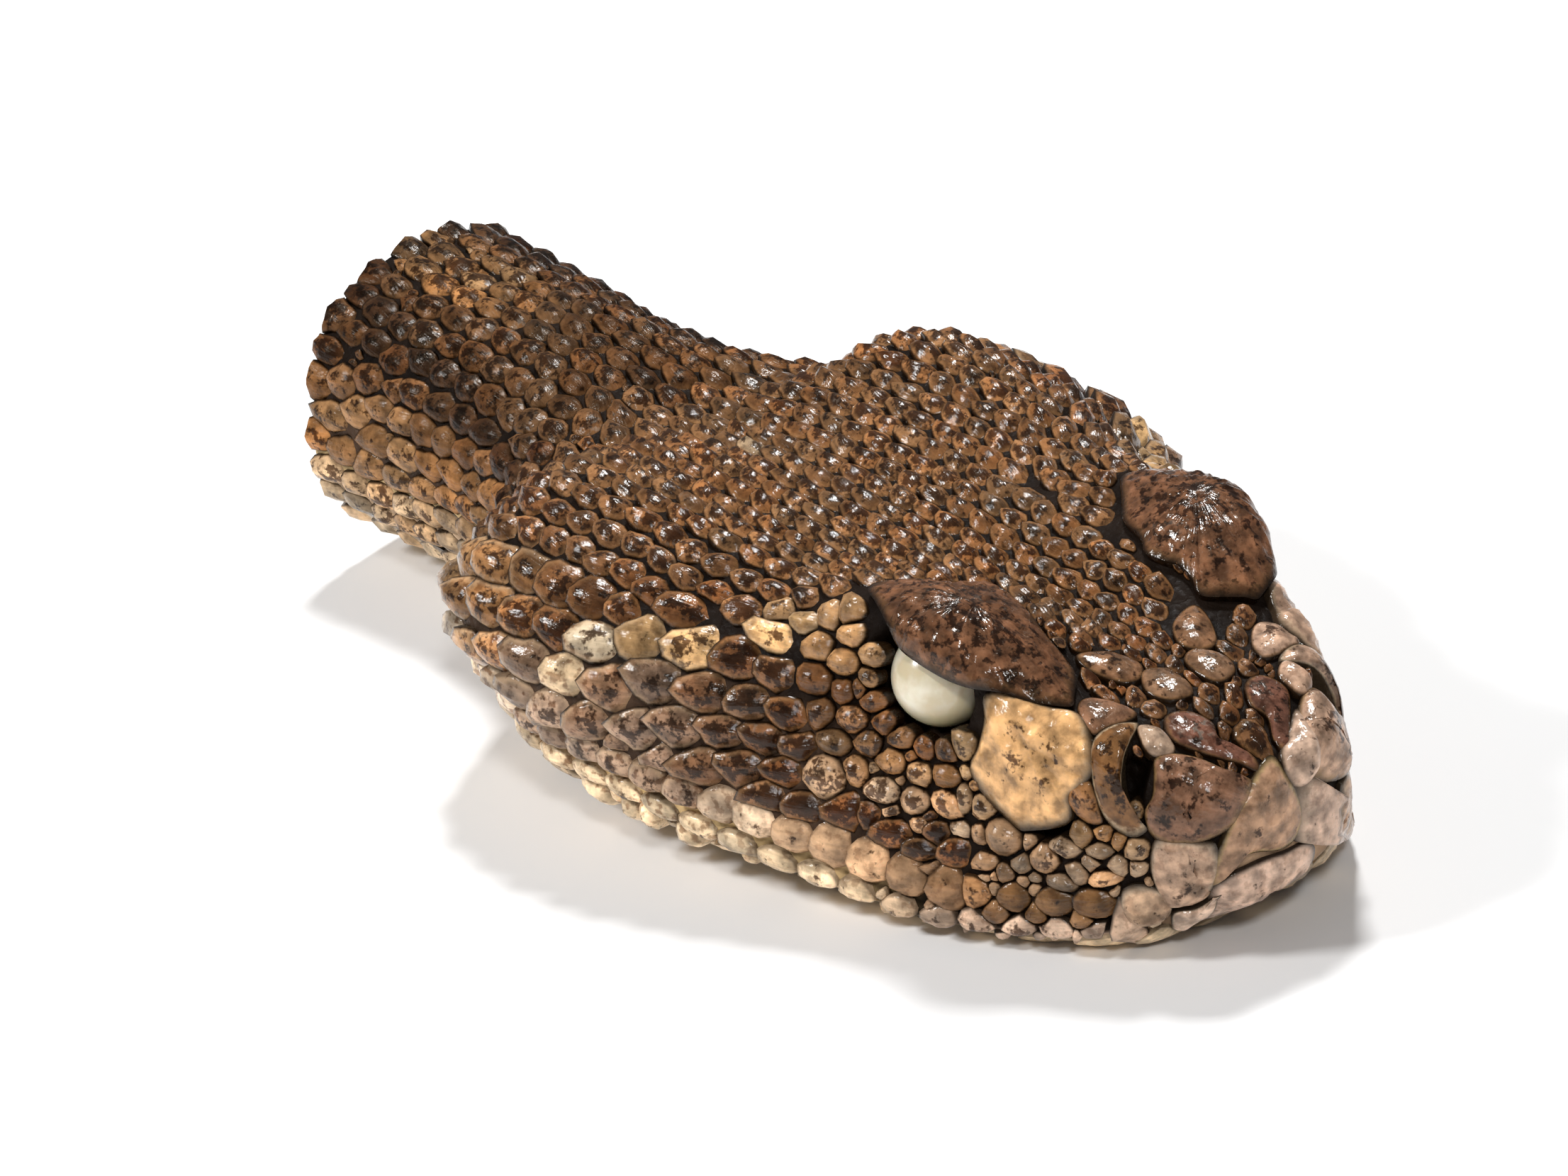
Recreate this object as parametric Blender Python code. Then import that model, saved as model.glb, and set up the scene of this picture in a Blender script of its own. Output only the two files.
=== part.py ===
"""Preserved rattlesnake head: one skin-covered head with its stub of neck, and the two eyes set in it.

The head is a loft through cross sections that differ along its length. It is modelled in millimetres with the
snout tip at x = 0 and the neck running to -x, on a table at z = 0, and is then centred over the origin.
"""
import math

import bmesh
import bpy
import numpy as np
from mathutils import Matrix, Vector

MM = 0.001

NOSE_ROUND = 1.2
NOSE_POLE_Z = 6.9
NOSE_FULLNESS = 0.7

CUT_SLANT = 0.32
CUT_LEAN = 0.1
CUT_LEAN_ABOUT_Z = 8.0
CUT_SLANT_START = 60.0
CUT_SLANT_RUN = 18.0
CUT_RIM_SHARE = 0.86
CUT_RECESS = 0.8

# One row for each cross section, half of it, in half millimetres: x, crown z, brow (y, z), cheek (y, z),
# lip (y, z), belly z. A belly below zero is skin that is pressed flat on the table.
SECTIONS = (
    (-1.2, 9.5, (3.5, 9.0), (4.5, 7.0), (4.0, 5.0), 2.5),
    (-4.0, 11.0, (5.5, 10.5), (6.5, 7.5), (6.5, 2.5), 0.5),
    (-8.0, 12.0, (6.5, 12.0), (8.0, 8.5), (9.0, 2.0), -0.5),
    (-13.0, 12.5, (8.5, 15.0), (9.5, 10.0), (11.5, 2.0), -0.5),
    (-18.0, 13.0, (9.0, 15.0), (11.5, 10.0), (13.5, 3.0), -0.5),
    (-24.0, 14.0, (9.5, 14.5), (14.0, 10.5), (15.5, 4.0), -0.5),
    (-31.0, 14.5, (11.5, 15.0), (17.0, 10.5), (17.0, 5.0), -0.5),
    (-38.0, 14.5, (12.0, 15.5), (18.0, 10.5), (17.5, 5.5), -0.5),
    (-43.0, 14.0, (11.5, 15.5), (17.5, 11.0), (16.5, 6.5), -0.5),
    (-47.0, 14.0, (11.0, 13.0), (15.5, 10.5), (15.0, 7.0), 0.0),
    (-52.0, 15.0, (8.0, 13.0), (10.0, 10.0), (10.0, 7.0), 0.0),
    (-58.0, 16.0, (7.0, 13.0), (8.5, 10.0), (8.5, 7.0), 0.5),
    (-68.0, 16.5, (7.0, 14.0), (8.5, 10.5), (8.5, 7.5), 1.0),
    (-78.0, 17.0, (7.5, 14.5), (9.0, 11.0), (9.5, 7.5), 2.0),
)
# The lines between them follow their neighbours, as shares of the way out to the brow or in from the lip.
RIDGE_OUT = 0.5
RIDGE_UP_TO_BROW = 0.65
RIDGE_DOWN_TO_BROW = 0.18
JAW_OUT = 0.9
JAW_UP = 0.5
SOLE_OUT = 0.64
SOLE_UP = 0.1
CROWN, RIDGE, BROW, CHEEK, LIP, JAW, SOLE, BELLY = range(8)

NOSE_RINGS = 4
BODY_RINGS = 70
RING_GROWTH = 0.35
STEPS_PER_BAND = {CROWN: 4, RIDGE: 5, BROW: 6, CHEEK: 4, LIP: 2, JAW: 2, SOLE: 3}
MOUTH_HALF_WIDTH = 0.16
SHARP_ANGLE = math.radians(60.0)

SCALE_RELIEF = 0.07
SCALE_RELIEF_SHARE = 0.2
SCALES_START = 3.0
SCALES_END_LINE = 5.5
SCALES_FADE_LINE = 0.5
SCALES_FADE_SHIELD = 0.3
PLAIN_RIM = 1.6
MOUTH_DEPTH = 0.9
MOUTH_CORNER_X = -41.0
MOUTH_FADE = 3.0

BROW_SHIELD_CENTRE = (-13.3, 6.1)
BROW_SHIELD_HALF = (6.4, 3.4)
BROW_SHIELD_HEIGHT = 0.45
BROW_SHIELD_SHOULDER = 0.35
SHIELD_END_LINE = 2.5
BROW_CREASE_DEPTH = 0.6
BROW_CREASE_WIDTH = 0.2

EYE_CENTRE = (-14.3, 7.7, 11.9)
EYE_RADIUS = 2.45
SKIN_GAP = 0.3

PIT_CENTRE = (-7.2, 8.2, 6.5)
PIT_HALF = (1.15, 1.7, 0.65)
PIT_TURN = math.radians(-32.0)
NOSTRIL_CENTRE = (-3.4, 5.8, 9.4)
NOSTRIL_HALF = (0.65, 1.3, 1.15)
NOSTRIL_TURN = math.radians(-25.0)
TONGUE_NOTCH_CENTRE = (-0.8, 0.0, 4.5)
TONGUE_NOTCH_HALF = (1.7, 1.6, 0.6)


def clear_scene():
    """Empties the scene."""
    for old in list(bpy.data.objects):
        bpy.data.objects.remove(old, do_unlink=True)


def smooth_step(share):
    """Cubic ease from 0 to 1 as share runs from 0 to 1."""
    share = np.clip(share, 0.0, 1.0)
    return share * share * (3.0 - 2.0 * share)


def section_table():
    """The sections as arrays, ordered from neck to snout: x, and the y and z of the eight lines."""
    rows = np.array([[row[0], row[1], *row[2], *row[3], *row[4], row[5]] for row in sorted(SECTIONS)])
    x, crown, brow_y, brow_z, cheek_y, cheek_z, lip_y, lip_z, belly = rows.T
    rise = brow_z - crown
    ridge_z = crown + rise * np.where(rise > 0.0, RIDGE_UP_TO_BROW, RIDGE_DOWN_TO_BROW)
    jaw_z = belly + JAW_UP * (lip_z - belly)
    sole_z = belly + SOLE_UP * (lip_z - belly)
    middle = np.zeros_like(x)
    y = [middle, RIDGE_OUT * brow_y, brow_y, cheek_y, lip_y, JAW_OUT * lip_y, SOLE_OUT * lip_y, middle]
    z = [crown, ridge_z, brow_z, cheek_z, lip_z, jaw_z, sole_z, belly]
    return x, np.stack(y, -1), np.stack(z, -1)


def along(x_known, values, x):
    """Smooth curve through values at x_known, read at x: cubic pieces with three-point slopes."""
    step = np.diff(x_known)
    rise = np.diff(values, axis=0) / step[:, None]
    slope = np.empty_like(values)
    slope[1:-1] = rise[:-1] * step[1:, None] + rise[1:] * step[:-1, None]
    slope[1:-1] /= (step[1:] + step[:-1])[:, None]
    slope[0] = rise[0]
    slope[-1] = rise[-1]
    piece = np.clip(np.searchsorted(x_known, x) - 1, 0, len(step) - 1)
    t = ((x - x_known[piece]) / step[piece])[..., None]
    width = step[piece][..., None]
    near = (2 * t**3 - 3 * t**2 + 1) * values[piece] + (t**3 - 2 * t**2 + t) * width * slope[piece]
    far = (3 * t**2 - 2 * t**3) * values[piece + 1] + (t**3 - t**2) * width * slope[piece + 1]
    return near + far


def around(lines, mirror, line):
    """Catmull-Rom curve round a half section, read at line, a share of the way from CROWN to BELLY."""
    padded = np.concatenate([mirror * lines[..., 1:2], lines, mirror * lines[..., 6:7]], -1)
    first = np.clip(np.floor(line).astype(int), CROWN, SOLE)
    t = line - first
    before, start, end, after = (
        np.take_along_axis(padded, (first + k)[..., None], -1)[..., 0] for k in range(4)
    )
    curve = 2 * start + (end - before) * t
    curve += (2 * before - 5 * start + 4 * end - after) * t**2
    curve += (3 * start - before - 3 * end + after) * t**3
    return curve / 2


def skin_point(run, line):
    """Points of the smooth skin, in mm.

    run is 0 to 1 over the rounded nose and then 1 plus the distance behind it; line is signed, negative on
    the right side, and its size runs from CROWN to BELLY.
    """
    x_known, y_known, z_known = section_table()
    nose_angle = np.clip(run, 0.0, 1.0) * math.pi / 2
    x = np.where(run < 1.0, -NOSE_ROUND * (1.0 - np.cos(nose_angle)), -NOSE_ROUND - (run - 1.0))
    x_section = np.minimum(x, -NOSE_ROUND)
    half = np.abs(line)
    y = around(along(x_known, y_known, x_section), -1.0, half) * np.where(line < 0, -1.0, 1.0)
    z = around(along(x_known, z_known, x_section), 1.0, half)
    swell = np.where(run < 1.0, np.sin(nose_angle) ** NOSE_FULLNESS, 1.0)
    y = y * swell
    z = NOSE_POLE_Z + (z - NOSE_POLE_Z) * swell
    near_cut = smooth_step((-CUT_SLANT_START - x) / CUT_SLANT_RUN)
    x = x + near_cut * (CUT_LEAN * (z - CUT_LEAN_ABOUT_Z) - CUT_SLANT * y)
    return np.stack([x, y, np.maximum(z, 0.0)], -1)


def line_samples():
    """The line values of one ring, from the right side's belly over the crown to the left side's belly."""
    half = []
    for band, steps in STEPS_PER_BAND.items():
        start = band + (MOUTH_HALF_WIDTH if band == LIP else 0.0)
        end = band + 1 - (MOUTH_HALF_WIDTH if band == CHEEK else 0.0)
        half += list(np.linspace(start, end, steps, endpoint=band == CHEEK))
        if band == CHEEK:
            half.append(float(LIP))
    half.append(float(BELLY))
    return np.array([-v for v in half[:0:-1]] + half[:-1])


def run_samples():
    """The run values of the rings, from just behind the nose tip to the cut, spaced wider towards the cut."""
    length = -SECTIONS[-1][0] - NOSE_ROUND
    nose = np.linspace(0.0, 1.0, NOSE_RINGS + 1)[1:]
    share = np.linspace(0.0, 1.0, BODY_RINGS + 1)[1:]
    body = length * (share + RING_GROWTH * share**2) / (1.0 + RING_GROWTH)
    return np.concatenate([nose, 1.0 + body])


def outward(points):
    """Unit normals of a ring grid that closes round its second axis."""
    down_length = np.gradient(points, axis=0)
    round_ring = np.roll(points, -1, 1) - np.roll(points, 1, 1)
    normal = np.cross(round_ring, down_length)
    return normal / np.linalg.norm(normal, axis=-1, keepdims=True)


def shield_share(points):
    """How far each point lies out from the middle of its brow shield, 1 at the shield's edge."""
    dx = (points[..., 0] - BROW_SHIELD_CENTRE[0]) / BROW_SHIELD_HALF[0]
    dy = (np.abs(points[..., 1]) - BROW_SHIELD_CENTRE[1]) / BROW_SHIELD_HALF[1]
    return np.hypot(dx, dy)


def raised_points(shape):
    """Which grid points are scale tips: every other one, so that the tips make diamond rows."""
    ring, around_ring = np.indices(shape)
    return (ring + around_ring) % 2 == 0


def away_from(points, centre, radius):
    """0 within radius of centre or of its mirror image, rising to 1 over PLAIN_RIM."""
    folded = points * np.array([1.0, 0.0, 1.0]) + np.abs(points) * np.array([0.0, 1.0, 0.0])
    return smooth_step((np.linalg.norm(folded - np.array(centre), axis=-1) - radius) / PLAIN_RIM)


def relief(points, line):
    """Height of the skin's own relief over the smooth form, in mm.

    Scale tips stand out over most of the skin, more so where they are wide, the brow shields are raised inside
    a creased outline, and the mouth is a narrow groove on the lip line.
    """
    half = np.abs(line)
    shield = shield_share(points)
    on_shield = smooth_step((1.0 - shield) / BROW_SHIELD_SHOULDER) * (half < SHIELD_END_LINE)
    scaly = smooth_step((SCALES_END_LINE + SCALES_FADE_LINE - half) / SCALES_FADE_LINE)
    scaly *= smooth_step((-points[..., 0] - NOSE_ROUND) / SCALES_START)
    scaly *= smooth_step((shield - 1.0) / SCALES_FADE_SHIELD) * away_from(points, EYE_CENTRE, EYE_RADIUS)
    scaly *= away_from(points, PIT_CENTRE, PIT_HALF[0]) * away_from(points, NOSTRIL_CENTRE, NOSTRIL_HALF[2])
    width = np.linalg.norm(np.roll(points, -1, 1) - np.roll(points, 1, 1), axis=-1) / 2
    height = (SCALE_RELIEF + SCALE_RELIEF_SHARE * width) * scaly
    height *= np.where(raised_points(half.shape), 1.0, -1.0)
    mouth = (np.abs(half - LIP) < MOUTH_HALF_WIDTH / 2) * smooth_step(
        (points[..., 0] - MOUTH_CORNER_X) / MOUTH_FADE
    )
    height = height * (1.0 - mouth) - MOUTH_DEPTH * mouth
    crease = np.exp(-(((shield - 1.0) / BROW_CREASE_WIDTH) ** 2)) * (half < BROW)
    return height + BROW_SHIELD_HEIGHT * on_shield - BROW_CREASE_DEPTH * crease


def head_mesh():
    """The head and neck as one closed mesh: nose pole, rings, and a shallow recessed face at the cut.

    Each square of the grid is split between its two low corners, so that a scale tip is a clean pyramid.
    """
    run, line = np.meshgrid(run_samples(), line_samples(), indexing="ij")
    smooth = skin_point(run, line)
    points = smooth + outward(smooth) * relief(smooth, line)[..., None]
    points[..., 2] = np.maximum(points[..., 2], 0.0)
    rings, count = points.shape[:2]
    middle = points[-1].mean(0)
    rim = middle + (points[-1] - middle) * CUT_RIM_SHARE + np.array([CUT_RECESS, 0.0, 0.0])
    nose = np.array([0.0, 0.0, NOSE_POLE_Z])
    everything = np.concatenate([points.reshape(-1, 3), rim, [nose], [middle + (CUT_RECESS, 0.0, 0.0)]])
    tips = raised_points((rings + 1, count))

    built = bmesh.new()
    verts = [built.verts.new(Vector(point) * MM) for point in everything]
    nose_vert, cut_vert = verts[-2], verts[-1]
    for k in range(count):
        after = (k + 1) % count
        built.faces.new((nose_vert, verts[after], verts[k]))
        for ring in range(rings):
            near, far = ring * count, (ring + 1) * count
            square = [verts[near + k], verts[near + after], verts[far + after], verts[far + k]]
            if tips[ring, k]:
                square = square[1:] + square[:1]
            built.faces.new((square[0], square[1], square[2]))
            built.faces.new((square[0], square[2], square[3]))
        built.faces.new((cut_vert, verts[rings * count + k], verts[rings * count + after]))
    bmesh.ops.recalc_face_normals(built, faces=built.faces)
    mesh = bpy.data.meshes.new("head")
    built.to_mesh(mesh)
    built.free()
    mesh.set_sharp_from_angle(angle=SHARP_ANGLE)
    return mesh


def material(name, colour, roughness):
    """A Principled material of one colour."""
    made = bpy.data.materials.new(name)
    made.use_nodes = True
    shader = made.node_tree.nodes["Principled BSDF"]
    shader.inputs["Base Color"].default_value = (*colour, 1.0)
    shader.inputs["Roughness"].default_value = roughness
    shader.inputs["Metallic"].default_value = 0.0
    return made


def ball(name, centre, half, turn, collection, segments=18, rings=10):
    """An ellipsoid made from a sphere primitive; half is its half sizes and turn its angle about Z."""
    built = bmesh.new()
    place = Matrix.Translation(Vector(centre) * MM) @ Matrix.Rotation(turn, 4, "Z")
    place = place @ Matrix.Diagonal((*[size * MM for size in half], 1.0))
    bmesh.ops.create_uvsphere(built, u_segments=segments, v_segments=rings, radius=1.0, matrix=place)
    mesh = bpy.data.meshes.new(name)
    built.to_mesh(mesh)
    built.free()
    mesh.shade_smooth()
    made = bpy.data.objects.new(name, mesh)
    collection.objects.link(made)
    return made


def cut(body, cutter):
    """Takes the cutter's shape out of the body."""
    cutter.hide_render = True
    cutter.display_type = "WIRE"
    boolean = body.modifiers.new(cutter.name, "BOOLEAN")
    boolean.operation = "DIFFERENCE"
    boolean.object = cutter


def sided(centre, turn, side):
    """A centre and turn given for the left side, for side +1 or its mirror image for side -1."""
    return (centre[0], centre[1] * side, centre[2]), turn * side


def build():
    """Builds the head, hollows its openings, sets the eyes and centres everything over the origin."""
    clear_scene()
    parts = bpy.data.collections.new("preserved_rattlesnake_head")
    cutters = bpy.data.collections.new("cutters")
    for collection in (parts, cutters):
        bpy.context.scene.collection.children.link(collection)

    head = bpy.data.objects.new("head", head_mesh())
    head.data.materials.append(material("dried_skin", (0.19, 0.1, 0.05), 0.4))
    parts.objects.link(head)
    eye_finish = material("clouded_eye", (0.66, 0.6, 0.47), 0.2)

    for label, side in (("left", 1.0), ("right", -1.0)):
        centre, _ = sided(EYE_CENTRE, 0.0, side)
        eye = ball(f"{label}_eye", centre, (EYE_RADIUS,) * 3, 0.0, parts)
        eye.data.materials.append(eye_finish)
        cut(head, ball(f"{label}_socket", centre, (EYE_RADIUS + SKIN_GAP,) * 3, 0.0, cutters))
        centre, turn = sided(PIT_CENTRE, PIT_TURN, side)
        cut(head, ball(f"{label}_heat_pit", centre, PIT_HALF, turn, cutters, 12, 8))
        centre, turn = sided(NOSTRIL_CENTRE, NOSTRIL_TURN, side)
        cut(head, ball(f"{label}_nostril", centre, NOSTRIL_HALF, turn, cutters, 12, 8))
    cut(head, ball("tongue_notch", TONGUE_NOTCH_CENTRE, TONGUE_NOTCH_HALF, 0.0, cutters, 12, 8))

    x_values = [vertex.co.x for vertex in head.data.vertices]
    shift = Vector((-(min(x_values) + max(x_values)) / 2, 0.0, 0.0))
    for made in list(parts.objects) + list(cutters.objects):
        made.location = shift


build()
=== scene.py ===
"""Looks of the preserved rattlesnake head: skin, keeled scales, lip and snout plates, brow shields and eyes.

Shapes are worked out in millimetres in the form's own frame: x is 0 at the snout tip and negative towards the
neck, y is the animal's left, z is the height over the table. MeshStock moves them to the frame, in metres.
"""
import itertools
import logging
import math
from dataclasses import dataclass, field
from enum import Enum
from typing import NamedTuple

import bpy
import numpy as np
from mathutils import Matrix, Vector


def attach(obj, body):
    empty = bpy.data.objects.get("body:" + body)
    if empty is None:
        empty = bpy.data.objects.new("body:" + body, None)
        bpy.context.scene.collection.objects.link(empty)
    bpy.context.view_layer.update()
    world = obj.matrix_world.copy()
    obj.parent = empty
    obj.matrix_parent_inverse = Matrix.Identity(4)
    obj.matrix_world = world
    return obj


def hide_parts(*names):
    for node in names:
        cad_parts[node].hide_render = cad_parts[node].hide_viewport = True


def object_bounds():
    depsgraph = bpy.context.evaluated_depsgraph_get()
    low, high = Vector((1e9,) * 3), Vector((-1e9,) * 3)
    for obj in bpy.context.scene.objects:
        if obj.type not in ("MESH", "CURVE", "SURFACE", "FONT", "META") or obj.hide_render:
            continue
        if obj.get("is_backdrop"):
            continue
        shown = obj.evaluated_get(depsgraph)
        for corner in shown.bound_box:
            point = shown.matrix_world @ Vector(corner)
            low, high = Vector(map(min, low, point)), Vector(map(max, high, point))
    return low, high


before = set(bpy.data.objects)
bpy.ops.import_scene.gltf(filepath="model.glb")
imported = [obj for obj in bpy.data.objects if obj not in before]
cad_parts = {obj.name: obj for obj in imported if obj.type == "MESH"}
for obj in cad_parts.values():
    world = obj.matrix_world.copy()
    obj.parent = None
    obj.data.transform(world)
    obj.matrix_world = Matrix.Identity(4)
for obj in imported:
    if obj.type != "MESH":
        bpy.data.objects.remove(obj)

CAD_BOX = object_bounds()
MM = 0.001
SNOUT_TIP_X = CAD_BOX[1][0] / MM
BELLY = 7.0
LIP_LINE = 4.0
SIGHT_AXIS = (0.18, 0.97, 0.14)
NECK_START_X = -46.0
LOG = logging.getLogger("rattlesnake_head")

Array = np.ndarray
Colour = tuple[float, float, float]
Material = bpy.types.Material
Piece = bpy.types.Object
Socket = bpy.types.NodeSocket


def smooth_step(share: Array) -> Array:
    """Cubic ease from 0 to 1 as share runs from 0 to 1."""
    share = np.clip(share, 0.0, 1.0)
    return share * share * (3.0 - 2.0 * share)


def unit(vectors: Array) -> Array:
    """The vectors at length 1."""
    return vectors / np.maximum(np.linalg.norm(vectors, axis=-1, keepdims=True), 1e-9)


def grain(points: Array, cell: float, seed: float) -> Array:
    """Smooth random field from -1 to 1: random values at the corners of cubes, eased between them.

    Args:
        points: places in mm, shape (..., 3).
        cell: side of the cubes in mm.
        seed: chooses the field.

    Returns:
        One value for each place.
    """
    spot = points / cell
    corner = np.floor(spot)
    share = smooth_step(spot - corner)
    total = np.zeros(points.shape[:-1])
    for step in itertools.product((0.0, 1.0), repeat=3):
        roll = np.sin((corner + step) @ np.array([12.99, 78.23, 37.72]) + seed) * 43758.5
        weight = np.prod(np.where(np.array(step) > 0, share, 1.0 - share), axis=-1)
        total += weight * (roll - np.floor(roll))
    return 2.0 * total - 1.0


def inside(spots: Array, outline: Array) -> Array:
    """Which spots lie inside a closed outline: an odd number of its sides crosses the ray from each spot.

    Args:
        spots: pairs, shape (n, 2).
        outline: corners of the outline, shape (m, 2).

    Returns:
        A truth value for each spot.
    """
    start, end = outline, np.roll(outline, -1, axis=0)
    above = (start[:, 1] > spots[:, None, 1]) != (end[:, 1] > spots[:, None, 1])
    rise = np.where(np.abs(end[:, 1] - start[:, 1]) < 1e-9, 1e-9, end[:, 1] - start[:, 1])
    cross = start[:, 0] + (spots[:, None, 1] - start[:, 1]) / rise * (end[:, 0] - start[:, 0])
    return (above & (spots[:, None, 0] < cross)).sum(1) % 2 == 1


def catmull_rom(before: Array, start: Array, end: Array, after: Array,
                t: Array) -> Array:
    """Catmull-Rom curve from start to end.

    It is half of 2 start + (end - before) t + (2 before - 5 start + 4 end - after) t^2 +
    (3 start - before - 3 end + after) t^3.

    Args:
        before: the point before start.
        start: where t is 0.
        end: where t is 1.
        after: the point after end.
        t: the way from start to end.

    Returns:
        Points of the curve.
    """
    curve = 2 * start + (end - before) * t
    curve += (2 * before - 5 * start + 4 * end - after) * t**2
    curve += (3 * start - before - 3 * end + after) * t**3
    return curve / 2


def spokes(rings: tuple, corners: int, skirt_share: float) -> tuple[Array, Array, Array]:
    """The points of a scale or plate: its middle, its rings from the inside out, and the foot of its skirt.

    Args:
        rings: share of the way to the edge of each ring.
        corners: points on a ring.
        skirt_share: the same share for the foot of the skirt.

    Returns:
        The share of each point, the corner that it belongs to, and whether it is on the skirt's foot.
    """
    share = np.array([0.0] + [r for r in rings for _ in range(corners)] + [skirt_share] * corners)
    corner = np.array([0] + list(range(corners)) * (len(rings) + 1))
    return share, corner, np.arange(len(share)) > len(rings) * corners


class SkinFrame(NamedTuple):
    """Places on the smooth skin, with the two unit directions along it and the way out."""

    point: Array
    back: Array
    side: Array
    out: Array
    per_run: Array
    per_line: Array


@dataclass(frozen=True)
class HeadForm:
    """The smooth form of head and neck, from the same sections as the solid model.

    Each section row is x, crown z, brow (y, z), cheek (y, z), lip (y, z), belly z. A belly below zero is skin
    pressed flat on the table.
    """

    nose_round: float = 1.2
    nose_pole_z: float = 6.9
    nose_fullness: float = 0.7
    cut_slant: float = 0.32
    cut_lean: float = 0.1
    cut_lean_about_z: float = 8.0
    cut_slant_start: float = 60.0
    cut_slant_run: float = 18.0
    sections: tuple = (
        (-1.2, 9.5, (3.5, 9.0), (4.5, 7.0), (4.0, 5.0), 2.5),
        (-4.0, 11.0, (5.5, 10.5), (6.5, 7.5), (6.5, 2.5), 0.5),
        (-8.0, 12.0, (6.5, 12.0), (8.0, 8.5), (9.0, 2.0), -0.5),
        (-13.0, 12.5, (8.5, 15.0), (9.5, 10.0), (11.5, 2.0), -0.5),
        (-18.0, 13.0, (9.0, 15.0), (11.5, 10.0), (13.5, 3.0), -0.5),
        (-24.0, 14.0, (9.5, 14.5), (14.0, 10.5), (15.5, 4.0), -0.5),
        (-31.0, 14.5, (11.5, 15.0), (17.0, 10.5), (17.0, 5.0), -0.5),
        (-38.0, 14.5, (12.0, 15.5), (18.0, 10.5), (17.5, 5.5), -0.5),
        (-43.0, 14.0, (11.5, 15.5), (17.5, 11.0), (16.5, 6.5), -0.5),
        (-47.0, 14.0, (11.0, 13.0), (15.5, 10.5), (15.0, 7.0), 0.0),
        (-52.0, 15.0, (8.0, 13.0), (10.0, 10.0), (10.0, 7.0), 0.0),
        (-58.0, 16.0, (7.0, 13.0), (8.5, 10.0), (8.5, 7.0), 0.5),
        (-68.0, 16.5, (7.0, 14.0), (8.5, 10.5), (8.5, 7.5), 1.0),
        (-78.0, 17.0, (7.5, 14.5), (9.0, 11.0), (9.5, 7.5), 2.0),
    )
    ridge_out: float = 0.5
    ridge_up_to_brow: float = 0.65
    ridge_down_to_brow: float = 0.18
    jaw_out: float = 0.9
    jaw_up: float = 0.5
    sole_out: float = 0.64
    sole_up: float = 0.1
    least_run: float = 0.005
    behind_nose: float = 1.5

    def table(self) -> tuple[Array, Array, Array]:
        """The sections from neck to snout: x, and the y and z of the eight lines round half of each."""
        rows = np.array([[r[0], r[1], *r[2], *r[3], *r[4], r[5]] for r in sorted(self.sections)])
        x, crown, brow_y, brow_z, cheek_y, cheek_z, lip_y, lip_z, belly = rows.T
        rise = brow_z - crown
        ridge_z = crown + rise * np.where(rise > 0.0, self.ridge_up_to_brow, self.ridge_down_to_brow)
        jaw_z = belly + self.jaw_up * (lip_z - belly)
        sole_z = belly + self.sole_up * (lip_z - belly)
        middle = np.zeros_like(x)
        jaw_y, sole_y = self.jaw_out * lip_y, self.sole_out * lip_y
        y = [middle, self.ridge_out * brow_y, brow_y, cheek_y, lip_y, jaw_y, sole_y, middle]
        z = [crown, ridge_z, brow_z, cheek_z, lip_z, jaw_z, sole_z, belly]
        return x, np.stack(y, -1), np.stack(z, -1)

    @staticmethod
    def along(x_known: Array, values: Array, x: Array) -> Array:
        """Smooth curve through values at x_known, read at x: cubic pieces with three-point slopes."""
        step = np.diff(x_known)
        rise = np.diff(values, axis=0) / step[:, None]
        slope = np.empty_like(values)
        slope[1:-1] = rise[:-1] * step[1:, None] + rise[1:] * step[:-1, None]
        slope[1:-1] /= (step[1:] + step[:-1])[:, None]
        slope[0], slope[-1] = rise[0], rise[-1]
        piece = np.clip(np.searchsorted(x_known, x) - 1, 0, len(step) - 1)
        t = ((x - x_known[piece]) / step[piece])[..., None]
        width = step[piece][..., None]
        near = (2 * t**3 - 3 * t**2 + 1) * values[piece] + (t**3 - 2 * t**2 + t) * width * slope[piece]
        far = (3 * t**2 - 2 * t**3) * values[piece + 1] + (t**3 - t**2) * width * slope[piece + 1]
        return near + far

    @staticmethod
    def around(lines: Array, mirror: float, line: Array) -> Array:
        """Catmull-Rom curve round a half section, read at line, from 0 at the crown to 7 at the belly."""
        padded = np.concatenate([mirror * lines[..., 1:2], lines, mirror * lines[..., 6:7]], -1)
        first = np.clip(np.floor(line).astype(int), 0, 6)
        t = line - first
        before, start, end, after = (
            np.take_along_axis(padded, (first + k)[..., None], -1)[..., 0] for k in range(4)
        )
        return catmull_rom(before, start, end, after, t)

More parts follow.
